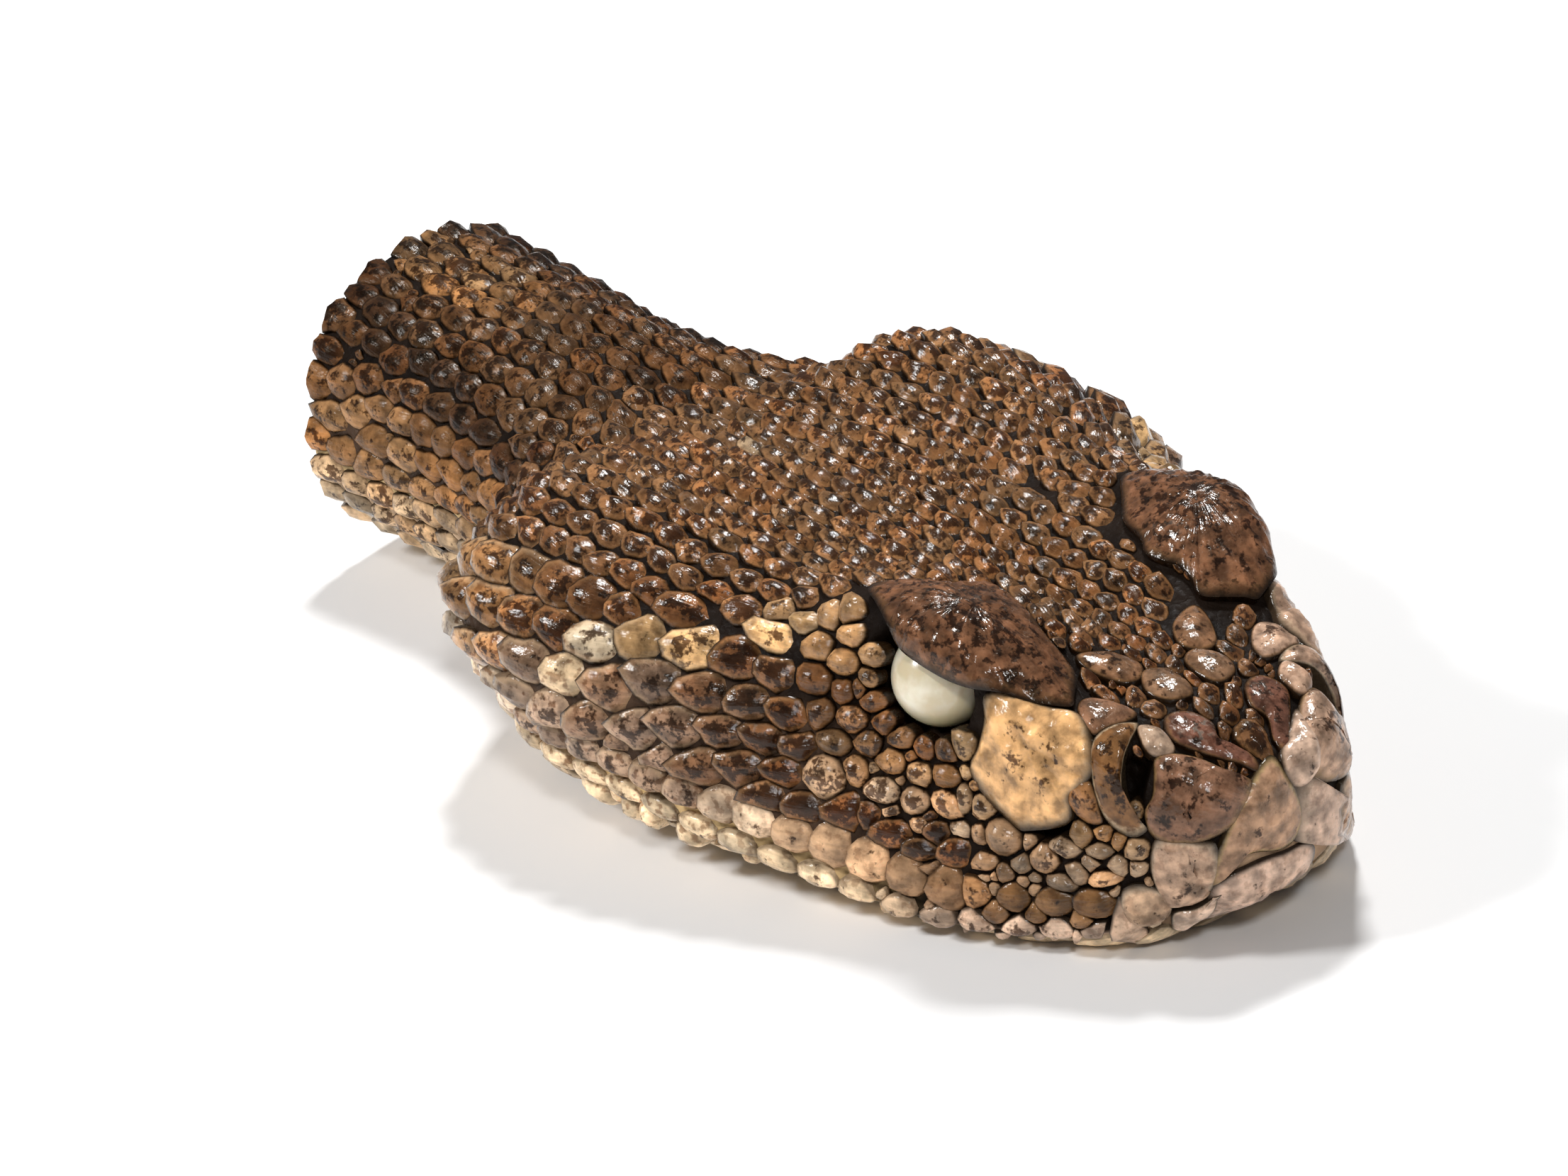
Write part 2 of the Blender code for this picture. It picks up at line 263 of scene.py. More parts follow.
    def point(self, run: Array, line: Array) -> Array:
        """Points of the smooth skin, in mm.

        Args:
            run: 0 to 1 over the rounded nose, and then 1 plus the distance behind it.
            line: negative on the right side; its size runs from 0 at the crown to 7 at the belly, and a value
                past 7 goes on up the other side.

        Returns:
            Places, shape (..., 3).
        """
        run = np.maximum(run, self.least_run)
        line = (line + BELLY) % (2 * BELLY) - BELLY
        x_known, y_known, z_known = self.table()
        nose_angle = np.clip(run, 0.0, 1.0) * math.pi / 2
        x = np.where(run < 1.0, -self.nose_round * (1.0 - np.cos(nose_angle)), -self.nose_round - (run - 1.0))
        x_section = np.minimum(x, -self.nose_round)
        half = np.abs(line)
        y = self.around(self.along(x_known, y_known, x_section), -1.0, half) * np.where(line < 0, -1.0, 1.0)
        z = self.around(self.along(x_known, z_known, x_section), 1.0, half)
        swell = np.where(run < 1.0, np.sin(nose_angle) ** self.nose_fullness, 1.0)
        y = y * swell
        z = self.nose_pole_z + (z - self.nose_pole_z) * swell
        near_cut = smooth_step((-self.cut_slant_start - x) / self.cut_slant_run)
        x = x + near_cut * (self.cut_lean * (z - self.cut_lean_about_z) - self.cut_slant * y)
        return np.stack([x, y, np.maximum(z, 0.0)], -1)

    def frame(self, run: Array, line: Array) -> SkinFrame:
        """Places on the skin with unit directions: back to the neck, sideways to the left, and out."""
        run, line = np.broadcast_arrays(np.asarray(run, float), np.asarray(line, float))
        run = np.maximum(run, self.least_run)
        tiny = 2e-3
        point = self.point(run, line)
        per_run = (self.point(run + tiny, line) - point) / tiny
        per_line = (self.point(run, line + tiny) - point) / tiny
        out = unit(np.cross(per_line, per_run))
        back = unit(per_run)
        return SkinFrame(point, back, np.cross(out, back), out, per_run, per_line)

    def front_place(self, spots: Array) -> Array:
        """Run and line of places on the nose that are given as they look from the front.

        Args:
            spots: pairs of y and z, shape (n, 2).

        Returns:
            Pairs of run and line, shape (n, 2).
        """
        lines = np.linspace(0.0, BELLY, 141)
        edge = self.point(np.ones_like(lines), lines)
        up = edge[:, 2] - self.nose_pole_z
        turn = np.arctan2(np.abs(spots[:, 0]), spots[:, 1] - self.nose_pole_z)
        reach = np.hypot(spots[:, 0], spots[:, 1] - self.nose_pole_z)
        full = np.interp(turn, np.arctan2(edge[:, 1], up), np.hypot(edge[:, 1], up))
        run = np.arcsin(np.minimum(reach / full, 1.0) ** (1.0 / self.nose_fullness)) * 2.0 / math.pi
        run += self.behind_nose * np.maximum(reach - full, 0.0)
        line = np.interp(turn, np.arctan2(edge[:, 1], up), lines)
        return np.stack([run, np.where(spots[:, 0] < 0.0, -line, line)], -1)

    def step(self, at: SkinFrame, back: Array, side: Array) -> tuple[Array, Array]:
        """The change of run and line that moves each place by the given mm back and sideways."""
        run_back = (at.per_run * at.back).sum(-1)
        line_back = (at.per_line * at.back).sum(-1)
        line_side = (at.per_line * at.side).sum(-1)
        line_side = np.where(np.abs(line_side) < 0.05, 0.05, line_side)
        d_line = side / line_side
        return (back - line_back * d_line) / run_back, d_line


FORM = HeadForm()


@dataclass(frozen=True)
class PhotoLens:
    """The photograph's camera, and the way back from its pixels. Angles turn it round the point aim."""

    azimuth: float = math.radians(-29.92)
    elevation: float = math.radians(23.71)
    roll: float = math.radians(-9.10)
    distance: float = 220.0
    focal_pixels: float = 6210.0
    aim: tuple = (-33.9, -4.0, 9.2)
    image: tuple = (2212, 1659)

    def axes(self) -> tuple[Array, Array, Array, Array]:
        """The camera's place, its right and up directions, and the way it looks."""
        az, el = self.azimuth, self.elevation
        back = np.array([math.cos(az) * math.cos(el), math.sin(az) * math.cos(el), math.sin(el)])
        level = unit(np.cross(-back, [0.0, 0.0, 1.0]))
        rise = np.cross(level, -back)
        right = math.cos(self.roll) * level + math.sin(self.roll) * rise
        up = -math.sin(self.roll) * level + math.cos(self.roll) * rise
        return np.array(self.aim) + self.distance * back, right, up, -back

    def pixels(self, points: Array) -> Array:
        """Where places in mm fall in the photograph."""
        eye, right, up, ahead = self.axes()
        away = points - eye
        depth = away @ ahead
        across = away @ right / depth * self.focal_pixels + self.image[0] / 2
        down = -(away @ up) / depth * self.focal_pixels + self.image[1] / 2
        return np.stack([across, down], -1)

    def locate(self, pixels: Array, height: float) -> Array:
        """Run and line of pixels on the skin raised by height: nearest facing grid place, then Newton steps.

        Args:
            pixels: places in the photograph, shape (n, 2).
            height: distance of the surface they show over the smooth skin, in mm.

        Returns:
            Pairs of run and line, shape (n, 2).
        """
        run, line = np.meshgrid(np.r_[np.linspace(0.1, 1, 10), np.arange(1.25, 76.5, 0.3)],
                                np.arange(-6.2, 3.0, 0.04), indexing="ij")
        grid = FORM.frame(run.ravel(), line.ravel())
        eye = self.axes()[0]
        faces = ((eye - grid.point) * grid.out).sum(-1) > 0
        run, line = run.ravel()[faces], line.ravel()[faces]
        place = (grid.point + height * grid.out)[faces]
        seen, far = self.pixels(place), np.linalg.norm(place - eye, axis=-1)
        found = []
        for pixel in pixels:
            miss = np.linalg.norm(seen - pixel, axis=-1)
            close = miss < max(10.0, miss.min() + 2.0)
            front = far < far[close].min() + 2.0
            found.append(np.where(close & front, miss, np.inf).argmin())
        run, line = run[found], line[found]
        for _ in range(8):
            at = FORM.frame(run, line)
            here = self.pixels(at.point + height * at.out)
            slopes = []
            for d_run, d_line in ((0.01, 0.0), (0.0, 0.01)):
                moved = FORM.frame(run + d_run, line + d_line)
                slopes.append((self.pixels(moved.point + height * moved.out) - here) / 0.01)
            across, along = slopes[0], slopes[1]
            short = pixels - here
            turn = across[:, 0] * along[:, 1] - across[:, 1] * along[:, 0]
            turn = np.where(np.abs(turn) < 5.0, 5.0, turn)
            d_run = (short[:, 0] * along[:, 1] - short[:, 1] * along[:, 0]) / turn
            d_line = (across[:, 0] * short[:, 1] - across[:, 1] * short[:, 0]) / turn
            run = run + np.clip(d_run, -0.5, 0.5)
            line = line + np.clip(d_line, -0.1, 0.1)
            run = np.maximum(run, 0.05)
        return np.stack([run, line], -1)

    def locate_front(self, pixels: Array, height: float) -> Array:
        """The y and z of pixels on the nose raised by height: each sight line is cut at better and better x.

        Args:
            pixels: places in the photograph, shape (n, 2).
            height: distance of the surface they show over the smooth skin, in mm.

        Returns:
            Pairs of y and z, shape (n, 2).
        """
        eye, right, up, ahead = self.axes()
        across = (pixels - np.array(self.image) / 2) / self.focal_pixels
        ray = ahead + across[:, :1] * right - across[:, 1:] * up
        x = np.full(len(pixels), -0.3)
        for _ in range(20):
            place = eye + ray * ((x - eye[0]) / ray[:, 0])[:, None]
            run, line = FORM.front_place(place[:, 1:]).T
            x = (x + FORM.point(run, line)[:, 0] + height) / 2
        return place[:, 1:]


LENS = PhotoLens()


class NodeSheet:
    """A material's node tree, with short calls for the few kinds of node that the finishes use."""

    def __init__(self, name: str) -> None:
        """Starts a material with one Principled shader."""
        self.material = bpy.data.materials.new(name)
        self.material.use_nodes = True
        self.nodes = self.material.node_tree.nodes
        self.links = self.material.node_tree.links
        self.shader = self.nodes["Principled BSDF"]

    def put(self, socket: Socket, value: object) -> None:
        """Links a socket to an output, or sets its value."""
        if isinstance(value, Socket):
            self.links.new(value, socket)
        elif isinstance(value, tuple) and len(value) == 3 and socket.type == "RGBA":
            socket.default_value = (*value, 1.0)
        else:
            socket.default_value = value

    def shade(self, **values: object) -> None:
        """Puts values on the shader's own sockets, named with _ for a space."""
        for name, value in values.items():
            self.put(self.shader.inputs[name.replace("_", " ")], value)

    def parts(self, name: str) -> object:
        """The three values of a mesh attribute."""
        node = self.nodes.new("ShaderNodeSeparateXYZ")
        self.put(node.inputs[0], self.attribute(name).outputs["Vector"])
        return node.outputs

    def place(self) -> Socket:
        """Object coordinates."""
        return self.nodes.new("ShaderNodeTexCoord").outputs["Object"]

    def attribute(self, name: str) -> bpy.types.Node:
        """A mesh attribute."""
        node = self.nodes.new("ShaderNodeAttribute")
        node.attribute_name = name
        return node

    def noise(self, cell_mm: float, detail: float, vector: object = None, stretch: float = 0.0) -> object:
        """Noise whose features are about cell_mm wide."""
        node = self.nodes.new("ShaderNodeTexNoise")
        self.put(node.inputs["Vector"], vector or self.place())
        node.inputs["Scale"].default_value = 1.0 / (cell_mm * MM)
        node.inputs["Detail"].default_value = detail
        node.inputs["Distortion"].default_value = stretch
        return node.outputs["Fac"]

    def streaks(self, along: float, across: float) -> Socket:
        """Noise drawn out from the front of each scale to its back, read from the mesh attribute place."""
        drift = self.nodes.new("ShaderNodeVectorMath")
        drift.operation = "SCALE"
        self.put(drift.inputs[0], self.place())
        drift.inputs["Scale"].default_value = 0.3 / MM
        stretch = self.nodes.new("ShaderNodeVectorMath")
        stretch.operation = "MULTIPLY_ADD"
        self.put(stretch.inputs[0], self.attribute("place").outputs["Vector"])
        stretch.inputs[1].default_value = (along, across, 0.0)
        self.put(stretch.inputs[2], drift.outputs[0])
        return self.noise(1.0 / MM, 4.0, stretch.outputs[0])

    def ramp(self, value: object, low: float, high: float, out_low: float, out_high: float) -> object:
        """Maps low..high onto out_low..out_high with smooth ends, clamped."""
        node = self.nodes.new("ShaderNodeMapRange")
        node.interpolation_type = "SMOOTHSTEP"
        for socket, amount in zip(node.inputs, (value, low, high, out_low, out_high)):
            self.put(socket, amount)
        return node.outputs["Result"]

    def math(self, kind: str, first: object, second: object) -> Socket:
        """One arithmetic step."""
        node = self.nodes.new("ShaderNodeMath")
        node.operation = kind
        self.put(node.inputs[0], first)
        self.put(node.inputs[1], second)
        return node.outputs[0]

    def mix(self, share: object, first: object, second: object, kind: str = "MIX") -> Socket:
        """Mixes two colours."""
        node = self.nodes.new("ShaderNodeMix")
        node.data_type = "RGBA"
        node.blend_type = kind
        self.put(node.inputs[0], share)
        self.put(node.inputs[6], first)
        self.put(node.inputs[7], second)
        return node.outputs[2]

    def bump(self, height: object, depth_mm: float, strength: float) -> Socket:
        """A bumped normal."""
        node = self.nodes.new("ShaderNodeBump")
        node.inputs["Strength"].default_value = strength
        node.inputs["Distance"].default_value = depth_mm * MM
        self.put(node.inputs["Height"], height)
        return node.outputs["Normal"]


@dataclass(frozen=True)
class Palette:
    """The colours of the dried skin, as linear values."""

    brown: Colour = (0.225, 0.102, 0.039)
    red_brown: Colour = (0.195, 0.080, 0.030)
    dark: Colour = (0.045, 0.018, 0.008)
    tan: Colour = (0.370, 0.190, 0.075)
    light_edge: Colour = (0.360, 0.180, 0.070)
    gold_bead: Colour = (0.400, 0.220, 0.095)
    dark_bead: Colour = (0.205, 0.088, 0.032)
    peach_bead: Colour = (0.520, 0.320, 0.180)
    cream: Colour = (0.760, 0.570, 0.360)
    pale_lip: Colour = (0.780, 0.600, 0.420)
    mauve: Colour = (0.230, 0.130, 0.090)
    chin: Colour = (0.560, 0.390, 0.280)
    bare_skin: Colour = (0.010, 0.006, 0.004)
    groove: Colour = (0.560, 0.390, 0.190)
    stripe: Colour = (0.580, 0.350, 0.155)
    speckled: Colour = (0.290, 0.180, 0.115)
    lip_brown: Colour = (0.340, 0.225, 0.150)
    cheek_skin: Colour = (0.055, 0.032, 0.020)
    sole_skin: Colour = (0.300, 0.180, 0.090)
    # Near black laid over the skin by depth in the pit, the nostril and the front of the lip groove: painted
    # shade.
    hollow: Colour = (0.004, 0.002, 0.001)
    flesh: Colour = (0.160, 0.085, 0.045)


INK = Palette()


@dataclass(frozen=True)
class ScaleFinish:
    """Dried, glossy scale: the painted tint with mottling, blotches, specks, a paler rim, fine wrinkles, and
    painted shade: a dark line round each scale's edge and down its sides, standing in for the shadow in the
    gaps.

    Colours with dye in their name multiply what lies under them, and so does the colour of the painted shade
    line. Sizes are in mm.
    """

    name: str
    mottle_mm: float = 1.1
    mottle_low: float = 0.5
    mottle_high: float = 1.5
    streak_tone: tuple = (0.86, 1.14)
    blotch_mm: float = 0.6
    blotch_middle: float = 0.13
    blotch_fray_mm: float = 0.17
    blotch_fray: float = 0.07
    blotch_edge: tuple = (0.93, 1.08)
    blotch_share: float = 0.95
    speck_mm: float = 0.45
    speck_share: float = 0.9
    blotch_dye: Colour = (0.10, 0.07, 0.055)
    speck_dye: Colour = (0.34, 0.24, 0.18)
    # Colour of the painted shade line, multiplied over each scale's edge and sides to stand in for shadow in
    # the gaps.
    line_dye: Colour = (0.05, 0.045, 0.04)
    rim_start: float = 0.62
    rim_end: float = 0.88
    rim_fray: float = 0.2
    # Share of the way to the edge where the painted shade line starts.
    edge_line: float = 0.85
    rough_low: float = 0.25
    rough_high: float = 0.45
    shine: float = 0.10
    shine_tinge: Colour = (1.0, 0.76, 0.50)
    coat: float = 0.55
    coat_when_matte: float = 0.02
    coat_rough: float = 0.07
    dust_colour: Colour = (0.50, 0.42, 0.34)
    dust_share: float = 0.25
    dust_patch_mm: float = 3.2
    dust_grain_mm: float = 0.3
    wrinkle_mm: float = 0.32
    wrinkle_depth_mm: float = 0.09
    wrinkle_strength: float = 0.7
    coat_wrinkle_strength: float = 0.45
    streak_height: float = 1.2
    streaks_along: float = 1.1
    streaks_across: float = 5.0

    def material(self) -> Material:
        """The finish as a material that reads the mesh attributes tint, rim, place, and the blotch, matte and
        painted shade values.
        """
        sheet = NodeSheet(self.name)
        tint, rim = sheet.attribute("tint"), sheet.attribute("rim")
        outward, wear = sheet.parts("place")[2], sheet.parts("wear")
        mottle = sheet.noise(self.mottle_mm, 6.0)
        fine = sheet.noise(self.wrinkle_mm, 4.0)
        streak = sheet.streaks(self.streaks_along, self.streaks_across)
        bright = sheet.ramp(mottle, 0.3, 0.7, self.mottle_low, self.mottle_high)
        bright = sheet.math("MULTIPLY", bright, sheet.ramp(streak, 0.3, 0.7, *self.streak_tone))
        colour = sheet.mix(1.0, tint.outputs["Color"], bright, "MULTIPLY")
        inward = sheet.ramp(outward, 0.1, 0.95, self.blotch_middle, 0.0)
        blotch = sheet.math("ADD", sheet.noise(self.blotch_mm, 5.0), inward)
        blotch = sheet.math("ADD", blotch, wear[0])
        fray = sheet.noise(self.blotch_fray_mm, 4.0)
        blotch = sheet.math("ADD", blotch, sheet.ramp(fray, 0.3, 0.7, -self.blotch_fray, self.blotch_fray))
        blotch = sheet.ramp(blotch, *self.blotch_edge, 0.0, self.blotch_share)
        colour = sheet.mix(blotch, colour, self.blotch_dye, "MULTIPLY")
        frayed = sheet.math("ADD", outward, sheet.math("MULTIPLY", fine, self.rim_fray))
        lag = self.rim_fray / 2
        edge = sheet.ramp(frayed, self.rim_start + lag, self.rim_end + lag, 0.0, 1.0)
        edge = sheet.math("MULTIPLY", edge, rim.outputs["Alpha"])
        colour = sheet.mix(edge, colour, rim.outputs["Color"])
        speck = sheet.ramp(sheet.noise(self.speck_mm, 4.0), 0.5, 0.64, 0.0, self.speck_share)
        speck = sheet.math("MULTIPLY", speck, tint.outputs["Alpha"])
        colour = sheet.mix(speck, colour, self.speck_dye, "MULTIPLY")
        dust = sheet.ramp(sheet.noise(self.dust_patch_mm, 3.0), 0.64, 0.74, 0.0, self.dust_share)
        grains = sheet.ramp(sheet.noise(self.dust_grain_mm, 5.0), 0.48, 0.62, 0.0, 1.0)
        dust = sheet.math("MULTIPLY", dust, grains)
        colour = sheet.mix(dust, colour, self.dust_colour)
        # Painted shade: the scale darkens towards its edge and over its skirt, as if in the shadow of the
        # gaps.
        line = sheet.ramp(outward, self.edge_line, 1.0, 0.0, 1.0)
        line = sheet.math("MULTIPLY", line, wear[2])
        colour = sheet.mix(line, colour, self.line_dye, "MULTIPLY")
        sheet.shade(Base_Color=colour, Specular_IOR_Level=self.shine, Specular_Tint=self.shine_tinge,
                    Roughness=sheet.ramp(fine, 0.3, 0.7, self.rough_low, self.rough_high),
                    Coat_Weight=sheet.ramp(wear[1], 0.0, 1.0, self.coat, self.coat_when_matte),
                    Coat_Roughness=self.coat_rough)
        height = sheet.math("ADD", fine, sheet.math("MULTIPLY", streak, self.streak_height))
        sheet.shade(Normal=sheet.bump(height, self.wrinkle_depth_mm, self.wrinkle_strength),
                    Coat_Normal=sheet.bump(height, self.wrinkle_depth_mm, self.coat_wrinkle_strength))
        return sheet.material


@dataclass(frozen=True)
class SkinFinish:
    """Bare skin between the scales: patchy in tone, with fine creases and little shine."""

    name: str
    crease_mm: float = 0.35
    crease_depth_mm: float = 0.12
    crease_strength: float = 0.8
    patch_mm: float = 2.2
    rough: tuple = (0.35, 0.7)
    shine: float = 0.05

    def material(self) -> Material:
        """The finish as a material that reads the mesh attribute tint."""
        sheet = NodeSheet(self.name)
        folds = sheet.noise(self.crease_mm, 6.0, stretch=0.6)
        patches = sheet.noise(self.patch_mm, 3.0)
        colour = sheet.mix(1.0, sheet.attribute("tint").outputs["Color"],
                           sheet.ramp(patches, 0.3, 0.7, 0.6, 1.4), "MULTIPLY")
        sheet.shade(Base_Color=colour, Roughness=sheet.ramp(folds, 0.3, 0.7, *self.rough),
                    Specular_IOR_Level=self.shine,
                    Normal=sheet.bump(folds, self.crease_depth_mm, self.crease_strength))
        return sheet.material


@dataclass(frozen=True)
class EyeFinish:
    """Clouded eye: ivory with faint milky patches, olive towards its lower edge, with a wet shine."""

    name: str
    ivory: Colour = (0.62, 0.52, 0.34)
    milk: Colour = (0.76, 0.70, 0.55)
    olive: Colour = (0.27, 0.22, 0.09)
    cloud_mm: float = 1.6
    olive_start: float = 0.7
    olive_full: float = 1.1
    olive_share: float = 0.8
    roughness: float = 0.22
    coat: float = 0.8
    coat_rough: float = 0.06
    glow: float = 0.15
    glow_depth_mm: float = 0.8
    dent_mm: float = 0.5
    dent_depth_mm: float = 0.02
    dent_strength: float = 0.4

    def material(self) -> Material:
        """The finish as a material that reads the mesh attribute place."""
        sheet = NodeSheet(self.name)
        cloud = sheet.ramp(sheet.noise(self.cloud_mm, 4.0), 0.38, 0.66, 0.0, 1.0)
        colour = sheet.mix(cloud, self.ivory, self.milk)
        low = sheet.math("ADD", sheet.parts("place")[2], sheet.math("MULTIPLY", sheet.noise(0.8, 3.0), 0.3))
        low = sheet.ramp(low, self.olive_start, self.olive_full, 0.0, self.olive_share)
        colour = sheet.mix(low, colour, self.olive)
        dents = sheet.bump(sheet.noise(self.dent_mm, 3.0), self.dent_depth_mm, self.dent_strength)
        sheet.shade(Base_Color=colour, Roughness=self.roughness, Coat_Weight=self.coat, Normal=dents,
                    Coat_Roughness=self.coat_rough, Subsurface_Weight=self.glow,
                    Subsurface_Scale=self.glow_depth_mm * MM)
        return sheet.material


@dataclass
class MeshStock:
    """Closed patches gathered into one mesh, with their attributes."""

    points: list = field(default_factory=list)
    faces: list = field(default_factory=list)
    attributes: dict = field(default_factory=dict)
    count: int = 0
    sharp_degrees: float = 70.0

    def add(self, points: Array, faces: list, **attributes: Array) -> None:
        """Adds a patch.

        Args:
            points: its points in mm.
            faces: arrays of point indices, one for each size of face.
            attributes: values of each point, by name.
        """
        for face in faces:
            self.faces += (face + self.count).reshape(-1, face.shape[-1]).tolist()
        self.points.append(points.reshape(-1, 3))
        for name, values in attributes.items():
            self.attributes.setdefault(name, []).append(values.reshape(-1, values.shape[-1]))
        self.count += points.size // 3

    def make(self, name: str, material: Material) -> Piece:
        """Makes the mesh object, in metres in the frame.

        Args:
            name: the object's name.
            material: its finish.

        Returns:
            The object, linked to the scene.
        """
        points = np.concatenate(self.points)
        points = (points + np.array([SNOUT_TIP_X, 0.0, 0.0])) * MM
        mesh = bpy.data.meshes.new(name)
        mesh.from_pydata(points.tolist(), [], self.faces)
        mesh.shade_smooth()
        mesh.set_sharp_from_angle(angle=math.radians(self.sharp_degrees))
        for label, values in self.attributes.items():
            values = np.concatenate(values)
            colour = values.shape[-1] == 4
            layer = mesh.attributes.new(label, "FLOAT_COLOR" if colour else "FLOAT_VECTOR", "POINT")
            layer.data.foreach_set("color" if colour else "vector", values.astype(np.float32).ravel())
        mesh.materials.append(material)
        made = bpy.data.objects.new(name, mesh)
        bpy.context.scene.collection.objects.link(made)
        return made


def dress(piece: Piece, replaced: str = "") -> None:
    """Fixes a piece to the part, and reports it."""
    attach(piece, "root")
    if replaced:
        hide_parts(replaced)
    LOG.info("%s: %d faces", piece.name, len(piece.data.polygons))


class Kind(Enum):
    """The sorts of scale."""

    CROWN = 0
    CHEEK = 1
    UPPER_LIP = 2
    LOWER_LIP = 3
    THROAT = 4
    BEAD = 5
    NECK = 6


@dataclass(frozen=True)
class ScaleShape:
    """How one sort of scale stands up from the skin. Heights are in mm.

    A scale's height over the skin is lift, plus tilt times the way back from its middle, plus dome on a curve
    that falls to its edge, plus keel along its middle. Its outline is held inside widest times an oval, whose
    rear half is drawn to a tip where pointed is under 2.
    """

    lift: float
    tilt: float
    dome: float
    keel: float
    overlap: float
    gap: float
    widest: float
    pointed: float


SHAPES = {
    Kind.CROWN: ScaleShape(-0.08, 0.26, 0.28, 0.15, 0.22, 0.09, 1.42, 1.9),
    Kind.CHEEK: ScaleShape(-0.04, 0.36, 0.28, 0.12, 0.34, 0.05, 1.66, 2.3),
    Kind.UPPER_LIP: ScaleShape(0.0, 0.20, 0.24, 0.04, 0.16, 0.02, 1.6, 2.3),
    Kind.LOWER_LIP: ScaleShape(0.04, 0.05, 0.24, 0.0, 0.0, 0.02, 1.5, 2.6),
    Kind.THROAT: ScaleShape(0.04, 0.10, 0.10, 0.0, 0.12, 0.05, 1.3, 2.2),
    Kind.BEAD: ScaleShape(-0.05, 0.06, 0.52, 0.0, 0.08, 0.03, 1.36, 2.0),
    Kind.NECK: ScaleShape(-0.10, 0.18, 0.26, 0.06, 0.20, 0.06, 1.34, 2.0),
}


GROUPS = {
    Kind.CROWN: "crown", Kind.NECK: "neck", Kind.CHEEK: "cheek", Kind.UPPER_LIP: "lip", Kind.LOWER_LIP: "lip",
    Kind.THROAT: "throat", Kind.BEAD: "bead",
}


@dataclass
class Seats:
    """Where scales sit: run, line, full length and width in mm, turn of the long axis, sort, if fixed."""

    run: Array
    line: Array
    length: Array
    width: Array
    turn: Array
    kind: Array
    fixed: Array

    @classmethod
    def even(cls, run: object, line: object, length: object, width: object, kind: Kind,
             fixed: bool = False, turn: object = 0.0) -> "Seats":
        """Seats of one sort; single values are repeated."""
        values = (np.asarray(v, float) for v in (run, line, length, width, turn))
        run, line, length, width, turn = (a.copy() for a in np.broadcast_arrays(*values))
        return cls(run, line, length, width, turn, np.full(run.shape, kind.value), np.full(run.shape, fixed))

    def take(self, keep: Array) -> "Seats":
        """The seats that keep marks."""
        return Seats(*(getattr(self, name)[keep] for name in self.__dataclass_fields__))

    def join(self, *others: "Seats") -> "Seats":
        """These seats and the others in one."""
        names = self.__dataclass_fields__
        return Seats(*(np.concatenate([getattr(s, n) for s in (self, *others)]) for n in names))

    def shake(self, rng: np.random.Generator, share: float, turn_degrees: float) -> None:
        """Moves, turns and resizes free seats a little at random, by a share of their size."""
        roll = np.clip(rng.standard_normal((5, len(self.run))), -2.0, 2.0) * ~self.fixed
        per_line = np.linalg.norm(FORM.frame(self.run, self.line).per_line, axis=-1)
        self.run += share * roll[0] * self.length
        self.line += share * roll[1] * self.width / per_line
        self.turn += math.radians(turn_degrees) * roll[2]
        self.length *= 1.0 + share * roll[3]
        self.width *= 1.0 + share * roll[4]

    def both_sides(self) -> "Seats":
        """These seats and their mirror images."""
        other = self.take(np.ones(len(self.run), bool))
        other.line, other.turn = -other.line, -other.turn
        return self.join(other)


@dataclass(frozen=True)
class Lattice:
    """Staggered rows of scales between two lines of the form, with sizes that change along it.

    Stations are rows of x, column spacing, scale length, low line, high line.
    """

    kind: Kind
    stations: tuple
    start_x: float
    end_x: float

    def seats(self) -> Seats:
        """Seats on rings half a scale apart, every other column on each ring."""
        x_known, *columns = np.array(sorted(self.stations)).T
        rows = []
        x, ring = self.start_x, 0
        while x > self.end_x:
            spacing, length, low, high = (np.interp(x, x_known, c) for c in columns)
            run = -FORM.nose_round - x + 1.0
            line = np.linspace(low, high, 240)
            walk = FORM.point(np.full(line.shape, run), line)
            arc = np.r_[0.0, np.cumsum(np.linalg.norm(np.diff(walk, axis=0), axis=1))]
            arc -= np.interp(0.0, line, arc) if low < 0.0 < high else 0.0
            column = arc / spacing
            wanted = np.arange(math.ceil(column[0]), math.floor(column[-1]) + 1)
            wanted = wanted[(wanted + ring) % 2 == 0]
            rows.append(Seats.even(run, np.interp(wanted, column, line), length, spacing / 0.866, self.kind))
            x -= length / 2
            ring += 1
        return rows[0].join(*rows[1:])


class Outlines(NamedTuple):
    """Edge distance of every scale in each direction, as shares of its half sizes."""

    angle: Array
    reach: Array


